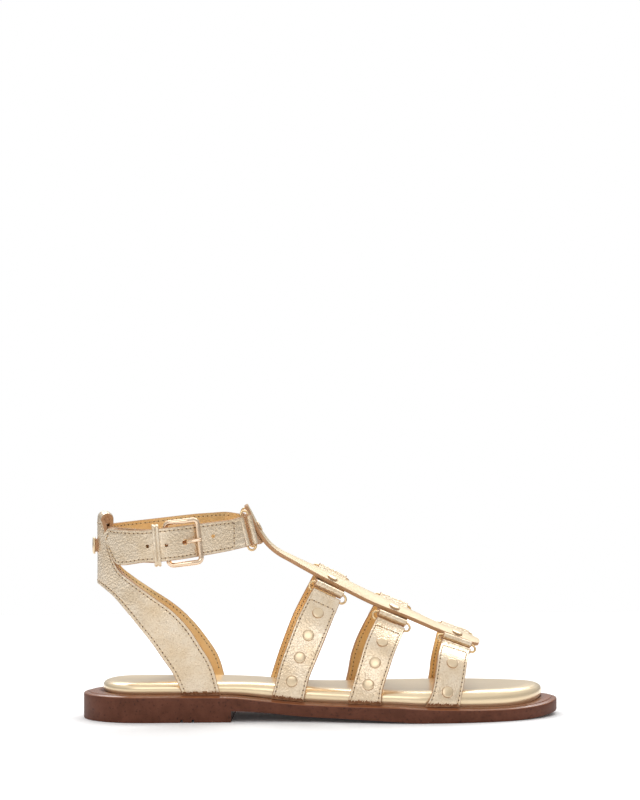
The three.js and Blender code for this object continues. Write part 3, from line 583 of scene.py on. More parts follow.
def strap(net, thick, outward, start=0.0, stop=0.0, across=14, step=0.8, relief=None, seam=True,
          rounded=(True, True), groove=edge_seam, foot=(False, False)):
    """Points, faces and face kinds of a leather strap over a net: 0 grain, 1 edge, 2 lining, 3 painted shade
    at a foot.

    A foot is an end that goes down into the sole, where the leather is skived thin."""
    lining_columns = 6
    total = net_length(net)[-1]
    run = np.arange(start, total - stop, step)
    ends = [np.array([0.0, 0.15, 0.45]) + start, total - stop - np.array([0.45, 0.15, 0.0])]
    run = np.concatenate([ends[0], run[(run > start + 0.7) & (run < total - stop - 0.7)], ends[1]])
    swell = np.ones(len(run))
    if rounded[0]:
        swell[:3] = (0.55, 0.86, 1.0)
    if rounded[1]:
        swell[-3:] = (1.0, 0.86, 0.55)
    width = net_width(net, run)
    dip = 0.05 if seam else 0.0
    border = [(0.3, 1.0), (0.65, 1.0)]
    border += [(groove + d, 1 - dip * deep) for d, deep in
               ((-0.6, 0), (-0.3, 0.25), (0, 1), (0.3, 0.25), (0.65, 0))]
    edge = [(0.06, 0.88, 1), (0.0, 0.66, 1), (0.0, 0.36, 1), (0.06, 0.12, 1), (0.25, 0.0, 2)]
    part, height, kinds = [], [], []
    margin = np.minimum(3.2, width * 0.42)

    def line(position, h, kind):
        part.append(position)
        height.append(np.full(len(run), h * thick))
        kinds.append(kind)
    squeeze = np.minimum(1.0, width / 8.0)
    for d, h in border:
        line(d * squeeze / width, h, 0)
    for k in range(across):
        line((margin + (width - 2 * margin) * k / (across - 1)) / width, 1.0, 0)
    for d, h in reversed(border):
        line(1 - d * squeeze / width, h, 0)
    for d, h, kind in edge:
        line(1 - d * squeeze / width, h, kind)
    for k in range(1, lining_columns):
        line(np.full(len(run), 1 - k / lining_columns), 0.0, 2)
    for d, h, kind in reversed(edge):
        line(d * squeeze / width, h, kind)
    part, height = np.stack(part, axis=1), np.stack(height, axis=1)
    top = np.array([kind == 0 for kind in kinds])
    if relief is not None:
        height = height + relief(run[:, None], part, width[:, None]) * top[None, :]
    height = thick / 2 + (height - thick / 2) * swell[:, None]
    for is_foot, away in zip(foot, (run - run[0], run[-1] - run)):
        if is_foot:
            height = height * (1 - 0.55 * np.exp(-(away / 1.6) ** 2))[:, None]
    points, _ = on_strap(net, run, part, height, outward)
    rows, count = part.shape
    faces, kind_of = sleeve(rows, count), []
    last_top = int(top.sum()) - 1
    for r in range(rows - 1):
        away = [far for far, is_foot in zip((run[r] - run[0], run[-1] - run[r]), foot) if is_foot]
        from_foot = min(away, default=math.inf)
        for k in range(count):
            # Grain faces this near a foot are kind 3, painted shade and painted reflection of the rim, up to
            # a ragged line.
            ragged = 1.4 + 0.3 * math.sin(2.4 * k) + 0.4 * math.sin(0.7 * k)
            if k < last_top:
                kind_of.append(3 if from_foot < ragged else 0)
            else:
                kind_of.append(2 if kinds[k] == 2 and kinds[(k + 1) % count] == 2 else 1)
    faces += [tuple(range(count)), tuple(range((rows - 1) * count, rows * count))]
    kind_of += [1, 1]
    return points.reshape(-1, 3), faces, kind_of


def join(*parts):
    """One set of points, faces and face kinds from several."""
    points, faces, kinds, count = [], [], [], 0
    for part_points, part_faces, part_kinds in parts:
        points.append(part_points)
        faces += [tuple(i + count for i in face) for face in part_faces]
        kinds += list(part_kinds)
        count += len(part_points)
    return np.concatenate(points), faces, kinds


def turned(profile, at, axis, start=None, sides=40, kind=0):
    """A piece turned about an axis, from (radius, distance along the axis) points."""
    axis = unit(np.asarray(axis, float))
    side = unit(np.cross(axis, vec(0.31, 0.42, 0.85)) if start is None else np.asarray(start, float))
    other = np.cross(axis, side)
    points = []
    for radius, rise in profile:
        for k in range(sides):
            angle = 2 * math.pi * k / sides
            points.append(at + axis * rise + (side * math.cos(angle) + other * math.sin(angle)) * radius)
    faces = sleeve(len(profile), sides)
    return np.array(points), faces, [kind] * len(faces)


def rolled(at, axis, width, outer=roll_outer, inner=wire + gap, kinds=(0, 1)):
    """Leather rolled round a bar: a short tube with eased, painted ends."""
    half = width / 2
    grain = [(outer, -half + 0.45), (outer, half - 0.45)]
    end = [(outer, half - 0.45), (outer - 0.12, half - 0.12), (outer - 0.4, half), (inner + 0.1, half),
           (inner, half - 0.1)]
    bore = [(inner, half - 0.1), (inner, -half + 0.1)]
    other = [(r, -z) for r, z in reversed(end)]
    return join(turned(grain, at, axis, kind=kinds[0]),
                *[turned(profile, at, axis, kind=kinds[1]) for profile in (end, bore, other)])


def lower_roll(tab, side):
    """The end of a strap, rolled round its ring's lower bar."""
    centre, forward, out, normal = ring_frame(tab, side)
    return rolled(centre + out * bar_reach, forward, strap_width_at_ring)


def stitches(name, lines):
    """Thread sewn along lines of (points, normals): short sunk lengths between needle holes."""
    rings = ((-0.5, 0.5, -0.16), (-0.4, 0.9, 0.0), (-0.15, 1.0, 0.07), (0.15, 1.0, 0.07),
             (0.4, 0.9, 0.0), (0.5, 0.5, -0.16))
    points, faces, kinds = [], [], []
    for line, normals in lines:
        far = np.concatenate([[0], np.cumsum(np.linalg.norm(np.diff(line, axis=0), axis=1))])
        count = int(round(far[-1] / stitch_pitch))

        def at_run(s, values):
            return np.array([np.interp(s, far, values[:, c]) for c in range(3)])
        for k in range(2 * count):
            s = (k / 2 + 0.25) * far[-1] / count
            at, up = at_run(s, line), unit(at_run(s, normals))
            run = unit(at_run(s + 0.3, line) - at_run(s - 0.3, line))
            side = np.cross(up, run)
            first = len(points)
            if k % 2:
                for angle in np.arange(8) * math.pi / 4:
                    flat = run * math.cos(angle) * needle_hole[0] + side * math.sin(angle) * needle_hole[1]
                    points += [at + flat * 1.25 - up * 0.12, at + flat + up * 0.07]
                wall = [(q, q + 1, (q + 3) % 16, (q + 2) % 16) for q in range(0, 16, 2)]
                wall += [tuple(range(0, 16, 2)), tuple(range(1, 16, 2))]
                faces += [tuple(first + i for i in face) for face in wall]
                kinds += [1] * len(wall)
                continue
            for reach, size, rise in rings:
                for q in range(6):
                    angle = math.pi * q / 3
                    ring = side * math.cos(angle) + up * math.sin(angle)
                    points.append(at + run * reach * thread_length + up * rise + ring * thread_radius * size)
            skin = sleeve(len(rings), 6) + [tuple(range(6)), tuple(range(30, 36))]
            faces += [tuple(first + i for i in face) for face in skin]
            kinds += [0] * len(skin)
    piece(name, (points, faces, kinds), [thread, needle_shade])


def seam_lines(net, thick, outward, start, stop, inset=edge_seam, inside=False):
    """The two stitch lines along a strap's edges, over a stretch of its length, outside or in."""
    run = np.arange(start, net_length(net)[-1] - stop, 0.4)
    width = net_width(net, run)
    made = []
    for part in (inset / width, 1 - inset / width):
        height = np.full((len(run), 1), 0.02 if inside else thick)
        points, normals = on_strap(net, run, part[:, None], height, outward)
        made.append((points[:, 0], -normals[:, 0] if inside else normals[:, 0]))
    return made


def cross_seam(net, thick, outward, distances, parts=(0.1, 0.9)):
    """A stitch line across a strap, between two distances along it, proud of its gathers."""
    part = np.linspace(parts[0], parts[1], 30)
    run = np.linspace(distances[0], distances[1], 30)
    points, normals = on_strap(net, run, part[:, None], np.full((30, 1), thick + 0.08), outward)
    return points[:, 0], normals[:, 0]


# Tumbled metallic-coated leather: a pebbled grain about a millimetre across that breaks up
# the sheen, over a fine pore, with the foil a little thinner and browner between the pebbles.
# The grain is drawn a little larger than the real one, so that it shows.
tumbled_gold, tree, shader, where = finish("tumbled_metallic_leather", Metallic=0.88, Roughness=0.32)
pebble = put(tree, "ShaderNodeTexVoronoi", {"Vector": where, "Scale": 1000 / 1.0}, feature="SMOOTH_F1")
grain = put(tree, "ShaderNodeTexNoise",
            {"Vector": where, "Scale": 1000 / 0.8, "Detail": 2.0, "Roughness": 0.5})
cloud = put(tree, "ShaderNodeTexNoise", {"Vector": where, "Scale": 1000 / 11.1, "Detail": 3.0})
tone = put(tree, "ShaderNodeMapRange", {"Value": cloud.outputs["Fac"], "From Min": 0.3, "From Max": 0.7})
base = put(tree, "ShaderNodeMixRGB",
           {"Fac": tone.outputs["Result"], "Color1": linear("E1CBAC"), "Color2": linear("EDDDC6")})
low = put(tree, "ShaderNodeMapRange",
          {"Value": grain.outputs["Fac"], "From Min": 0.3, "From Max": 0.5, "To Min": 0.35, "To Max": 0.0})
worn = put(tree, "ShaderNodeMixRGB",
           {"Fac": low.outputs["Result"], "Color1": base.outputs["Color"], "Color2": linear("B7946A")})
tree.links.new(worn.outputs["Color"], shader.inputs["Base Color"])
height = put(tree, "ShaderNodeMath", {0: pebble.outputs["Distance"], 1: grain.outputs["Fac"]},
             operation="ADD")
bump = put(tree, "ShaderNodeBump", {"Height": height.outputs["Value"], "Strength": 0.65, "Distance": 0.0003})
tree.links.new(bump.outputs["Normal"], shader.inputs["Normal"])

# Edge paint: matt, orange-brown, laid on thick and slightly uneven over the cut leather.
edge_paint = mottled("edge_paint", "A87A54", "C59A70", size=2.86, detail=3.0, emboss=(0.3, 0.0002),
                     Roughness=0.55)

# Lining: smooth metallic leather in a deeper, warmer gold, with a soft gloss and fine pores.
warm_lining = mottled("warm_gold_lining", "E8BE80", "F5D8A4", size=6.25, detail=4.0,
                      emboss=(0.2, 0.0002), pores=(0.667, 2.0), Metallic=0.75, Roughness=0.3)

# Needle holes: the dark mouths of the holes the thread goes down, a little larger than real
# so that they show.
needle_shade = mottled("needle_hole_shade", "5A3E2A", "7A5A3E", size=2.5, detail=2.0, Roughness=0.9)

# Polyester sewing thread: satin twisted strands, dyed to the gold of the leather.
thread, tree, shader, where = finish("polyester_thread", Roughness=0.5)
twist = put(tree, "ShaderNodeTexWave", {"Vector": where, "Scale": 1000 / 1.11, "Distortion": 2.0},
            bands_direction="DIAGONAL")
base = put(tree, "ShaderNodeMixRGB",
           {"Fac": twist.outputs["Fac"], "Color1": linear("C8AC84"), "Color2": linear("DCC49E")})
tree.links.new(base.outputs["Color"], shader.inputs["Base Color"])
bump = put(tree, "ShaderNodeBump", {"Height": twist.outputs["Fac"], "Strength": 0.4, "Distance": 0.0001})
tree.links.new(bump.outputs["Normal"], shader.inputs["Normal"])

# Strap foot: the lowest edge painted brown as shade and reflection of the brown rim, with a puckered bump.
foot_painted_shade = mottled("foot_painted_shade_leather", "6E4026", "B08058", size=1.43, detail=3.0,
                         emboss=(0.8, 0.0005), Metallic=0.4, Roughness=0.42)

# The fourth leather is painted shade at the straps' feet.
leather = [tumbled_gold, edge_paint, warm_lining, foot_painted_shade]


def strap_row(row, side, columns):
    """Places (x, z) across a strap, from its rear edge to its front one, or along the rim."""
    rear_x, rear_z, front_x, front_z, ahead = row
    places = []
    for c in np.linspace(0, 1, columns):
        x = rear_x + (front_x - rear_x) * c + (ahead if side == "med" else 0)
        places.append((x, rim_z(x) + laid if rear_z is None else rear_z + (front_z - rear_z) * c))
    return places


def side_strap_net(name, side):
    """Inner face of a side strap, from the rim up to the ring's lower bar."""
    columns = 7
    centre, forward, outward, normal = ring_frame(name, side)
    bar = centre + outward * bar_reach - normal * strap_thick / 2
    rows = [[arch_point(x, z, side) for x, z in strap_row(row, side, columns)]
            for row in side_straps[name]["rows"]]
    rows.append([bar + forward * (c - 0.5) * strap_width_at_ring for c in np.linspace(0, 1, columns)])
    return np.array(rows)


def pleats(total, seed, depth=0.15, spread=3.4, foot=0.0):
    """Gathers that fan down from the ring, and softer ones where the strap meets the rim."""
    wide_pitch, fine_pitch, from_ring = 3.1, 1.7, 3.2

    def relief(run, part, width):
        left = total - run
        turns = part * width * 2 * math.pi
        fan = np.sin(turns / wide_pitch + seed + 0.5 * np.sin(left / 1.7 + seed))
        fine = np.sin(turns / fine_pitch + 2.2 * seed + left / 2.5)
        top = np.exp(-((left - from_ring) / spread) ** 2)
        pucker = foot * np.exp(-run / 1.6) * np.sin(turns / fine_pitch + 3.1 * seed + run / 2)
        return depth * top * (0.65 * fan + 0.35 * fine) + pucker
    return relief


for side, word in side_words.items():
    outward = side_sign[side]
    for name in side_straps:
        net = side_strap_net(name, side)
        total = net_length(net)[-1]
        body = strap(net, strap_thick, outward, stop=bar_clear, across=22, step=0.6,
                     relief=pleats(total, float(name) + (0.7 if side == "med" else 0), foot=0.3),
                     rounded=(False, False), groove=side_seam, foot=(True, False))
        piece(f"side_strap_{word}_{name}_leather", join(body, lower_roll(name, side)), leather,
              [f"side_strap_{word}_{name}"])
        seams = seam_lines(net, strap_thick, outward, start=2.0, stop=6.4, inset=side_seam)
        seams.append(cross_seam(net, strap_thick, outward, (total - 6.3, total - 6.3)))
        seams += seam_lines(net, strap_thick, outward, start=4.5, stop=6.5, inside=True)
        stitches(f"side_strap_{word}_{name}_thread", seams)


# ---------------------------------------------------------------------------
# Rings: eight long loops bent from gold-plated wire and brazed shut. The upper bar of each
# is held by a tab on the T-strap, and the lower bar carries a side strap or ankle strap.
# ---------------------------------------------------------------------------
ring_straight = 16.2

# Gold-plated wire: a bright, pale mirror with a few soft rubbed marks from wear.
plated_wire = mottled("gold_plated_wire", "DDBB88", "E9CDA2", size=2.0, detail=3.0, rubbed=(0.1, 0.3),
                      Metallic=1.0)


def tube(path, section, up, closed=True, sizes=None):
    """A bar swept along a path: its section is in (aside, up) pairs."""
    path = np.asarray(path, float)
    if closed:
        run = np.roll(path, -1, axis=0) - np.roll(path, 1, axis=0)
    else:
        run = np.gradient(path, axis=0)
    run = unit(run)
    side = unit(np.cross(run, np.broadcast_to(up, path.shape)))
    over = np.cross(side, run)
    sizes = np.ones(len(path)) if sizes is None else np.asarray(sizes)
    points = (path[:, None] + (side[:, None] * np.array(section)[None, :, :1]
                               + over[:, None] * np.array(section)[None, :, 1:]) * sizes[:, None, None])
    count, rows = len(section), len(path)
    faces = sleeve(rows, count, closed)
    if not closed:
        faces += [tuple(range(count)), tuple(range((rows - 1) * count, rows * count))]
    return points.reshape(-1, 3), faces, [0] * len(faces)


def circle(radius):
    return [(radius * math.cos(math.pi * k / 8), radius * math.sin(math.pi * k / 8)) for k in range(16)]


for side, word in side_words.items():
    for tab in tabs:
        centre, forward, out, normal = ring_frame(tab, side)
        path = []
        for end in (1, -1):
            for i in range(19):
                angle = math.radians(-90 + 10 * i)
                path.append(centre + forward * end * (ring_straight / 2 + bar_reach * math.cos(angle))
                            + out * end * bar_reach * math.sin(angle))
            for i in range(1, 8):
                path.append(centre + forward * end * ring_straight / 2 * (1 - i / 4) + out * end * bar_reach)
        piece(f"wire_ring_{word}_{tab}", tube(path, circle(wire), normal), [plated_wire],
              [f"ring_{word}_{tab}"])


# ---------------------------------------------------------------------------
# T-strap: a crowned strip of gold leather down the instep, folded round a stiffener, with
# its painted edges showing. Four short tabs are riveted under it, and each end of a tab is
# turned round a ring's upper bar and tucked back beneath the tab.
# ---------------------------------------------------------------------------
tab_width = 16.8
tuck = dict(thick=1.1, width=15.6, reach=4.0, drop=1.25)
lap = 0.03
spine_corner = 5.2


def ribbon(line):
    """A net from rows of (middle, forward, width)."""
    return np.array([[middle + forward * c * width for c in (-0.5, -0.25, 0, 0.25, 0.5)]
                     for middle, forward, width in line])


def spine_point(frame_of, s, height):
    at, forward, across, normal = frame_of
    return at + across * s + normal * (height - s * s / (2 * spine_crown))


first_x, last_x = spine_rows["x"][0], spine_rows["x"][-1]
rows = []
for i in range(49):
    x = first_x + (last_x - first_x) * (0.5 - 0.5 * math.cos(math.pi * i / 48))
    short = max(0, spine_corner - min(x - first_x, last_x - x))
    half = spine_half - spine_corner + math.sqrt(spine_corner ** 2 - short ** 2)
    rows.append([spine_point(spine_frame(x), c * half, 0) for c in (-1, -0.5, 0, 0.5, 1)])
spine_net = np.array(rows)
spine_body = strap(spine_net, spine_thick, -1, across=8, step=0.9, seam=False)
parts = [(spine_body[0], spine_body[1], [4 if kind == 0 else kind for kind in spine_body[2]])]
for tab, row in tabs.items():
    here = spine_frame(row["x"])
    at, ahead, across, up = here
    line, tucks = [], []
    for side in side_sign:
        sign = -side_sign[side]
        centre, forward, out, normal = ring_frame(tab, side)
        bar = centre - out * bar_reach
        parts.append(rolled(bar, forward, strap_width_at_ring))
        edge = spine_point(here, sign * (spine_half + 0.4), -tab_thick - laid)
        top = bar + up * (roll_outer - tab_thick - lap)
        between = top * 0.5 + edge * 0.5 - up * 0.1
        part = [(top, forward, strap_width_at_ring), (between, unit(forward + ahead), tab_width - 0.3),
                (edge, ahead, tab_width)]
        line += part if side == "lat" else part[::-1]
        low = bar - up * (roll_outer - lap)
        end = spine_point(here, sign * tuck["reach"], -tab_thick - tuck["drop"])
        tucks.append([(low, forward, tuck["width"] - 0.2), (low * 0.5 + end * 0.5, forward, tuck["width"]),
                      (end, ahead, tuck["width"])])
        if side == "lat":
            line += [(spine_point(here, c * spine_half, -tab_thick - laid), ahead, tab_width)
                     for c in (0.6, 0.0, -0.6)]
    parts.append(strap(ribbon(line), tab_thick, -1, across=12, step=0.5, seam=False, rounded=(False, False)))
    for sign, line in zip((1, -1), tucks):
        parts.append(strap(ribbon(line), tuck["thick"], sign, across=6, step=0.6, seam=False,
                           rounded=(False, True)))

# T-strap leather: the same foil on a smoother, stiffer skin, satin and a little paler.
satin_gold = mottled("satin_metallic_leather", "C9B797", "D8C8AC", size=8.33, detail=4.0,
                     emboss=(0.3, 0.0002), pores=(0.909, 3.0), Metallic=0.6, Roughness=0.5)

piece("t_strap_leather", join(*parts), leather + [satin_gold], ["instep_strap"])


# ---------------------------------------------------------------------------
# Heel strap: one wide piece of lined gold leather, lasted under the footbed on both sides and
# rising to a tab at the back. The tab is folded over and sewn down inside, which leaves a
# tunnel for the ankle strap.
# ---------------------------------------------------------------------------
ankle_thick = 1.9
oval = dict(x=40.0, back=33.0, front=50.5, lat=29.3, med=28.3)
heel_thick = 2.1
heel_rows = (
    (51.3, None, 71.3, None, 5.5), (46.0, 25.2, 66.8, 29.0, 5.5), (40.5, 33.0, 60.5, 39.5, 5.0),
    (34.5, 41.3, 54.0, 49.0, 3.5), (27.5, 50.0, 45.5, 57.6, 2.0), (20.5, 58.5, 34.5, 65.5, 0.8),
    (15.0, 64.4, 24.5, 72.8, 0), (11.0, 67.6, 17.5, 79.0, 0), (8.6, 69.2, 13.0, 89.0, 0),
    (7.4, 69.9, 9.4, 102.8, 0), (7.1, 70.0, 7.7, 103.4, 0),
)
back_seam = (70.0, 103.7)
tab_half = 9.8
tab_fold_z = 102.9
tab_rise = 1.6
tab_corner = 1.05
tab_inside = (99.0, 95.0, 90.0, 85.0, 80.0)
tab_tunnel = 2.9
filler_z = (101.6, 102.6, 103.6, 104.6, 105.4)


def oval_point(x, z, side, offset):
    """A point on the ankle oval's side, moved out by an offset."""
    reach = oval["back"] if x < oval["x"] else oval["front"]
    low = min(max((60 - z) / 45, 0), 1)
    foot = sole_half(x, side) - strap_inset + strap_thick
    blend = low * (1 if x > 30 else 0.5)
    wide = oval[side] * (1 - blend) + foot * blend
    part = min(max((x - oval["x"]) / reach, -1), 1)
    bow = math.sqrt(1 - part * part)
    y = wide if low > 0 and x > oval["x"] else wide * bow
    return vec(x, side_sign[side] * y, z) + unit(vec(part / reach, side_sign[side] * bow / wide, 0)) * offset


arms = {side: [[oval_point(x, z, side, -heel_thick) for x, z in strap_row(row, side, 9)]
               for row in heel_rows] for side in side_sign}
seam_row = [vec(oval["x"] - oval["back"] + heel_thick, 0, z) for z in np.linspace(*back_seam, 9)]
heel_net = np.array(arms["lat"] + [seam_row] + arms["med"][::-1])
heel_total = net_length(heel_net)[-1]


def heel_relief(run, part, width):
    """Small gathers where the strap meets the rim, and a soft unevenness of the hand."""
    gather_pitch = 2.1
    foot = np.minimum(run, heel_total - run)
    gather = 0.3 * np.exp(-foot / 2.0) * np.sin(part * width * 2 * math.pi / gather_pitch + foot / 2)
    return gather + 0.05 * np.sin(run / 7.0) * np.sin(part * 5 + run / 11.0)


def tab_row(parts, z, depth, corner=0.0):
    """Points across the back tab, from its lateral edge to its medial one."""
    row = []
    for c in parts:
        side = "lat" if c < 0 else "med"
        x = oval["x"] - oval["back"] * math.sqrt(1 - (c * tab_half / oval[side]) ** 2)
        row.append(oval_point(x, z - corner * abs(c) ** 3, side, -depth))
    return row


# The fold's path, as (depth, height): up the back, over the tunnel and down inside.
fold = [(heel_thick, tab_fold_z - 2.0), (heel_thick, tab_fold_z)]
for i in range(9):
    angle = math.pi * (1 - i / 8)
    fold.append((heel_thick + tab_tunnel / 2 * (1 + math.cos(angle)),
                 tab_fold_z + tab_rise + tab_tunnel / 2 * math.sin(angle)))
fold += [(heel_thick + tab_tunnel, z) for z in tab_inside]
fold_net = np.array([tab_row(np.linspace(-1, 1, 9), z, depth, tab_corner if z > tab_fold_z else 0)
                     for depth, z in fold])
filler_net = np.array([tab_row((-0.97, -0.5, 0.0, 0.5, 0.97), z, heel_thick + tab_tunnel) for z in filler_z])
parts = [strap(filler_net, tab_tunnel - 0.1, 1, across=8, step=0.5, seam=False),
         strap(heel_net, heel_thick, -1, across=22, step=0.7, relief=heel_relief, rounded=(False, False),
               foot=(True, True)),
         strap(fold_net, heel_thick - 0.05, 1, across=14, step=0.5, seam=False, rounded=(False, True))]
piece("heel_strap_leather", join(*parts), leather, ["heel_strap"])
stitches("heel_strap_thread", seam_lines(heel_net, heel_thick, -1, start=2.0, stop=2.0)
         + seam_lines(heel_net, heel_thick, -1, start=8.0, stop=8.0, inside=True))


# ---------------------------------------------------------------------------
# Ankle strap: two lengths of lined gold leather, sewn along both edges. The plain one hangs
# on the buckle's hinge bar, runs round the back through the tab's tunnel and on to the medial
# ring; the holed one runs from the lateral ring, through the buckle, and ends free.
# ---------------------------------------------------------------------------
buckle = dict(x=51.2, y=-28.1, z=92.6, turn=6.5, width=16.8, height=21.9, corner=2.4, wire=1.25, bow=1.2)
holed_edges = dict(x=(12.0, 14.4, 17.9, 31.0, 45.0, 61.0, 77.0),
                   low=(95.0, 88.6, 81.5, 82.4, 83.5, 85.4, 87.9),
                   high=(96.2, 99.8, 99.3, 99.2, 100.8, 102.3, 104.0))
holed_offsets = dict(x=(10, 22, 30, 41, 46, 53, 60, 72), off=(0.3, 0.4, 0.9, 2.0, 1.2, -1.3, -2.7, -2.4))
inner_edges = dict(x=(7, 20, 40, 60, 82),
                   low=(83.6, 84.2, 86.0, 88.3, 90.2),
                   high=(100.6, 101.4, 103.2, 105.4, 107.0))
inner_offset = -heel_thick - 1.5 * gap
ankle_seam, ring_seam = 1.7, 7.3
strap_holes = ((32.8, 90.9, 0.95), (42.5, 91.5, 0.95), (52.2, 92.8, 1.5), (66.8, 95.6, 0.95))


def punched(part, cutters):
    """A strap's points, faces and kinds with solid cutters taken out of it; the cut walls are edges."""
    blank = solid("blank", *part, [None] * 3)
    punch = solid("punch", *join(*cutters), [None] * 3)
    cut = blank.modifiers.new("cut", "BOOLEAN")
    cut.operation, cut.solver, cut.object = "DIFFERENCE", "EXACT", punch
    whole = blank.evaluated_get(bpy.context.evaluated_depsgraph_get())
    mesh = bpy.data.meshes.new_from_object(whole)
    result = (np.array([v.co[:] for v in mesh.vertices]), [tuple(f.vertices) for f in mesh.polygons],
              [min(f.material_index, 2) for f in mesh.polygons])
    for made in (blank, punch):
        old = made.data
        bpy.data.objects.remove(made)
        bpy.data.meshes.remove(old)
    bpy.data.meshes.remove(mesh)
    return result


def plug(at, axis, radius, length, sides=28, start=None):
    """A solid cutter: a closed cylinder about an axis, or a square bar with four sides."""
    points, faces, kinds = turned([(radius, -length / 2), (radius, length / 2)], at, axis, start, sides, 1)
    faces += [tuple(range(sides)), tuple(range(sides, 2 * sides))]
    return points, faces, kinds + [1, 1]


def ring_end(side):
    """The last row of a length of ankle strap, at its ring's lower bar."""
    centre, forward, out, normal = ring_frame("ankle", side)
    bar = centre + out * bar_reach - normal * ankle_thick / 2
    return [bar + forward * (0.5 - c) * strap_width_at_ring for c in np.linspace(0, 1, 5)]


def oval_row(x, edges, side, offset, sag=0.0):
    """Points across the ankle strap at x, between its edges."""
    low, high = along(edges, x, "low") - sag, along(edges, x, "high") - sag
    return [oval_point(x, low + (high - low) * c, side, offset) for c in np.linspace(0, 1, 5)]


rows = [oval_row(x, holed_edges, "lat", along(holed_offsets, x, "off"))
        for x in (12, 13.2, 14.4, 17.9, 22, 26, 31, 36, 41, 46, 50, 54, 58, 62, 67, 72, 77)]
rows.append(ring_end("lat"))
holed_net = np.array(rows)
holed_total = net_length(holed_net)[-1]
body = strap(holed_net, ankle_thick, 1, stop=bar_clear, across=14, step=0.7,
             relief=pleats(holed_total, 2.4, depth=0.16, spread=2.6), rounded=(True, False))
holes = [plug(vec(x, buckle["y"], z), (0, 1, 0), radius, length=14) for x, z, radius in strap_holes]
piece("ankle_strap_holed_leather", join(punched(body, holes), lower_roll("ankle", "lat")), leather,
      ["ankle_strap_holed"], crease=32)
seams = seam_lines(holed_net, ankle_thick, 1, start=5.0, stop=7.5, inset=ankle_seam)
seams.append(cross_seam(holed_net, ankle_thick, 1, (holed_total - ring_seam, holed_total - ring_seam)))
# A short seam slants across the free end, between the tips of the two along its edges.
seams.append(cross_seam(holed_net, ankle_thick, 1, (2.6, 5.0), (0.3, 0.75)))
stitches("ankle_strap_holed_thread", seams)


def leaning(degrees):
    """Up and forward axes in the strap's plane, leaning back by an angle."""
    turn = math.radians(degrees)
    return vec(-math.sin(turn), 0, math.cos(turn)), vec(math.cos(turn), 0, math.sin(turn))


lean, level = leaning(buckle["turn"])
buckle_at = vec(buckle["x"], buckle["y"], buckle["z"])
hinge = vec(buckle["x"] - buckle["width"] / 2, buckle["y"], buckle["z"])
rows = [[hinge + lean * strap_width_at_ring * (c - 0.5) + vec(0, ankle_thick / 2, 0)
         for c in np.linspace(0, 1, 5)]]
# On the lateral side the inner length sags a little towards the buckle.
for x in (38, 33, 27, 21, 16, 12, 9.2, 7.5):
    t = min(max((x - 12) / 24, 0), 1)
    sag = 1.2 * t * t * (3 - 2 * t) + 2.4 * x / 38
    rows.append(oval_row(x, inner_edges, "lat", inner_offset - ankle_thick, sag))
for x in (7, 7.5, 9.2, 12, 16, 22, 30, 40, 50, 60, 69, 77):
    rows.append(oval_row(x, inner_edges, "med", inner_offset - ankle_thick))
rows.append(ring_end("med"))
plain_net = np.array(rows)
plain_total = net_length(plain_net)[-1]
body = strap(plain_net, ankle_thick, -1, start=1.7, stop=bar_clear, across=14, step=0.8,
             relief=pleats(plain_total, 4.1, depth=0.16, spread=2.6), rounded=(False, False))
# A square notch at the hinge bar lets the tongue through.
notch = [plug(hinge + vec(1.5, 0, 0), (0, 1, 0), radius=3.1, length=8, sides=4, start=unit(vec(1, 0, 1)))]
parts = [punched(body, notch), lower_roll("ankle", "med")]
bar_bore = buckle["wire"] + gap
parts += [rolled(hinge + lean * end * 4.98, lean, width=5.5, outer=bar_bore + 1, inner=bar_bore)
          for end in (1, -1)]
piece("ankle_strap_plain_leather", join(*parts), leather, ["ankle_strap_plain"], crease=32)
seams = seam_lines(plain_net, ankle_thick, -1, start=5.0, stop=7.5, inset=ankle_seam)
seams.append(cross_seam(plain_net, ankle_thick, -1, (plain_total - ring_seam, plain_total - ring_seam)))
seams += seam_lines(plain_net, ankle_thick, -1, start=5.0, stop=7.5, inset=ankle_seam, inside=True)
stitches("ankle_strap_plain_thread", seams)


# ---------------------------------------------------------------------------
# Keeper: a narrow loop of gold leather creased along its middle, sewn shut behind the ankle
# strap, which holds the free end down beside the buckle.
# ---------------------------------------------------------------------------
keeper = dict(x=37.4, y=-28.6, z=91.2, turn=5, half=4.6, high=9.6, corner=1.7, wall=1.2, width=3.5)


def rounded_path(half, high, corner):
    """A closed rounded rectangle, as (across, up) pairs."""
    path, turns, steps = [], 8, 9
    corners = ((1, 1, 0), (-1, 1, 90), (-1, -1, 180), (1, -1, 270))

    def on_corner(across, up, degrees):
        angle = math.radians(degrees)
        return (across * (half - corner) + corner * math.cos(angle),
                up * (high - corner) + corner * math.sin(angle))
    for i, (across, up, start) in enumerate(corners):
        path += [on_corner(across, up, start + 90 * k / turns) for k in range(turns + 1)]
        here, ahead = path[-1], on_corner(*corners[(i + 1) % 4])
        path += [tuple(h + (a - h) * k / steps for h, a in zip(here, ahead)) for k in range(1, steps)]
    return path


keeper_up, keeper_aside = leaning(keeper["turn"])
half_wide, half_wall = keeper["width"] / 2, keeper["wall"] / 2
# Half of the band's section, as (outward, in from its edge), up to the crease in its middle.
edge = [(-half_wall, 0.3), (0.25 - half_wall, 0.0), (half_wall - 0.35, 0.0), (half_wall - 0.05, 0.3),
        (half_wall, 0.8), (half_wall - 0.05, half_wide - 0.5)]
band = [(out, inset - half_wide) for out, inset in edge] + [(half_wall - 0.42, 0.0)]
band += [(out, half_wide - inset) for out, inset in reversed(edge)]
loop = [vec(keeper["x"], keeper["y"], keeper["z"]) + vec(0, 1, 0) * a + keeper_up * b for a, b in
        rounded_path(keeper["half"] + half_wall, keeper["high"] + half_wall, keeper["corner"])]
piece("keeper_leather", tube(loop, band, keeper_aside), [tumbled_gold],
      ["strap_keeper"], crease=50)


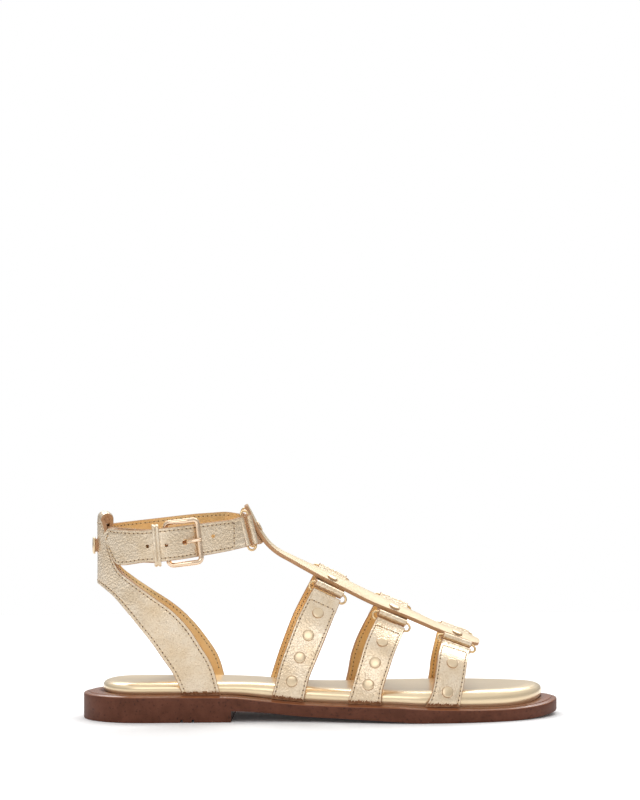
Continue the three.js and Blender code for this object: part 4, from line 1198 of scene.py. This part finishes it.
# ---------------------------------------------------------------------------
# Buckle: a cast frame with rounded corners, bowed a little to clear the strap, polished and
# plated in pale gold. Its tongue is bent from the same wire and turns on the hinge bar.
# ---------------------------------------------------------------------------
# Pale gold plate over a polished casting: mirror-bright, with a faint softness in the bevels.
plated_casting = mottled("pale_gold_plate", "EACBA8", "F3DCC4", size=2.38, detail=3.0, rubbed=(0.12, 0.26),
                         Metallic=1.0)

casting = [(1.3, 0.1), (1.12, 0.62), (0.68, 0.98), (0.0, 1.1), (-0.68, 0.98), (-1.12, 0.62), (-1.3, 0.1),
           (-1.2, -0.6), (-0.85, -1.0), (0.0, -1.15), (0.85, -1.0), (1.2, -0.6)]
loop = []
for a, b in rounded_path(buckle["width"] / 2, buckle["height"] / 2, buckle["corner"]):
    bow = buckle["bow"] * max(0, 1 - (2 * a / buckle["width"]) ** 2)
    loop.append(buckle_at + level * a + lean * b - vec(0, bow, 0))
piece("buckle_casting", tube(loop, casting, vec(0, -1, 0)), [plated_casting],
      ["buckle_frame"], crease=60)

tongue_line = np.array([
    (hinge[0] + 1.6, buckle["y"] + 1.2, 92.3), (48.0, buckle["y"] + 1.6, 92.4),
    (51.8, buckle["y"] + 0.2, 92.8), (54.4, buckle["y"] - 2.2, 93.2),
    (57.6, buckle["y"] - 2.9, 93.8), (60.6, buckle["y"] - 2.75, 94.2),
])[:, None, :]
run = np.linspace(0, net_length(tongue_line)[-1], 40)
path = net_rows(tongue_line, run)[:, 0]
left = run[-1] - run
# The tip is rounded over its last millimetre, and the wire thins a little towards it.
sizes = np.where(left < 1.0, np.sqrt(np.clip(1 - (1 - left) ** 2, 0.02, 1)), 1.0) * (1 - 0.12 * run / run[-1])
parts = [tube(path, circle(1.05), lean, closed=False, sizes=sizes),
         rolled(hinge, lean, width=3.0, outer=bar_bore + 0.9, inner=bar_bore, kinds=(0, 0))]
piece("buckle_tongue_wire", join(*parts), [plated_casting], ["buckle_tongue"], crease=60)


# ---------------------------------------------------------------------------
# Studs: low domed caps pressed from brass and gold plated, riveted through each strap so that
# their rims bite into the leather. The one on the back tab is a larger button on a neck.
# ---------------------------------------------------------------------------
# Gold-plated pressed brass: smooth and bright, a little softer than the wire.
pressed_brass = mottled("gold_plated_cap", "DEC6A2", "E8D5B8", size=2.38, detail=3.0, rubbed=(0.3, 0.44),
                        Metallic=1.0)

cap_sides = 36
cap = ((3.05, -0.3), (3.02, 0.04), (2.78, 0.06), (2.86, 0.25), (2.84, 0.42), (2.66, 0.58), (2.3, 0.7),
       (1.7, 0.78), (1.0, 0.83), (0.4, 0.85), (0.01, 0.85))
rear_cap = ((3.5, -0.3), (3.5, 0.1), (3.45, 0.95), (4.35, 1.05), (4.6, 1.3), (4.62, 1.75), (4.4, 2.15),
            (3.8, 2.42), (2.6, 2.55), (1.2, 2.6), (0.01, 2.6))


def cap_at(name, at, normal, profile, node):
    """A cap turned about a normal. Its first two bands, in edge paint brown, are painted shade at its foot
    where it sits in the leather.
    """
    points, faces, kinds = turned(profile, at, normal, sides=cap_sides)
    faces += [tuple(range(len(points) - cap_sides, len(points))), tuple(range(cap_sides))]
    # The first two bands are painted shade, in edge paint brown.
    kinds = [1] * 2 * cap_sides + kinds[2 * cap_sides:] + [0, 0]
    piece(name, (points, faces, kinds), [pressed_brass, edge_paint], [node], crease=50)


for side, word in side_words.items():
    for name, row in side_straps.items():
        net = side_strap_net(name, side)
        run = np.arange(2.0, net_length(net)[-1] - 4, 0.1)
        surface, normals = on_strap(net, run, np.full((len(run), 1), 0.5),
                                    np.full((len(run), 1), strap_thick), side_sign[side])
        for k in range(row["studs"]):
            node = f"stud_{word}_{name}_{k + 1}"
            corner = np.array(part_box(node))
            middle = (corner[0] + corner[1]) / 2 * 1000 + (sole_length / 2, centre_y, 0)
            best = int(np.argmin(np.linalg.norm(surface[:, 0] - middle, axis=1)))
            cap_at(f"cap_{word}_{name}_{k + 1}", surface[best, 0], normals[best, 0], cap, node)
for tab, row in tabs.items():
    here = spine_frame(row["x"])
    cap_at(f"cap_tab_{tab}", spine_point(here, 3.0, spine_thick), here[3], cap, f"stud_tab_{tab}")
cap_at("cap_rear", vec(oval["x"] - oval["back"], 0, 90), vec(-1, 0, 0), rear_cap, "stud_rear")
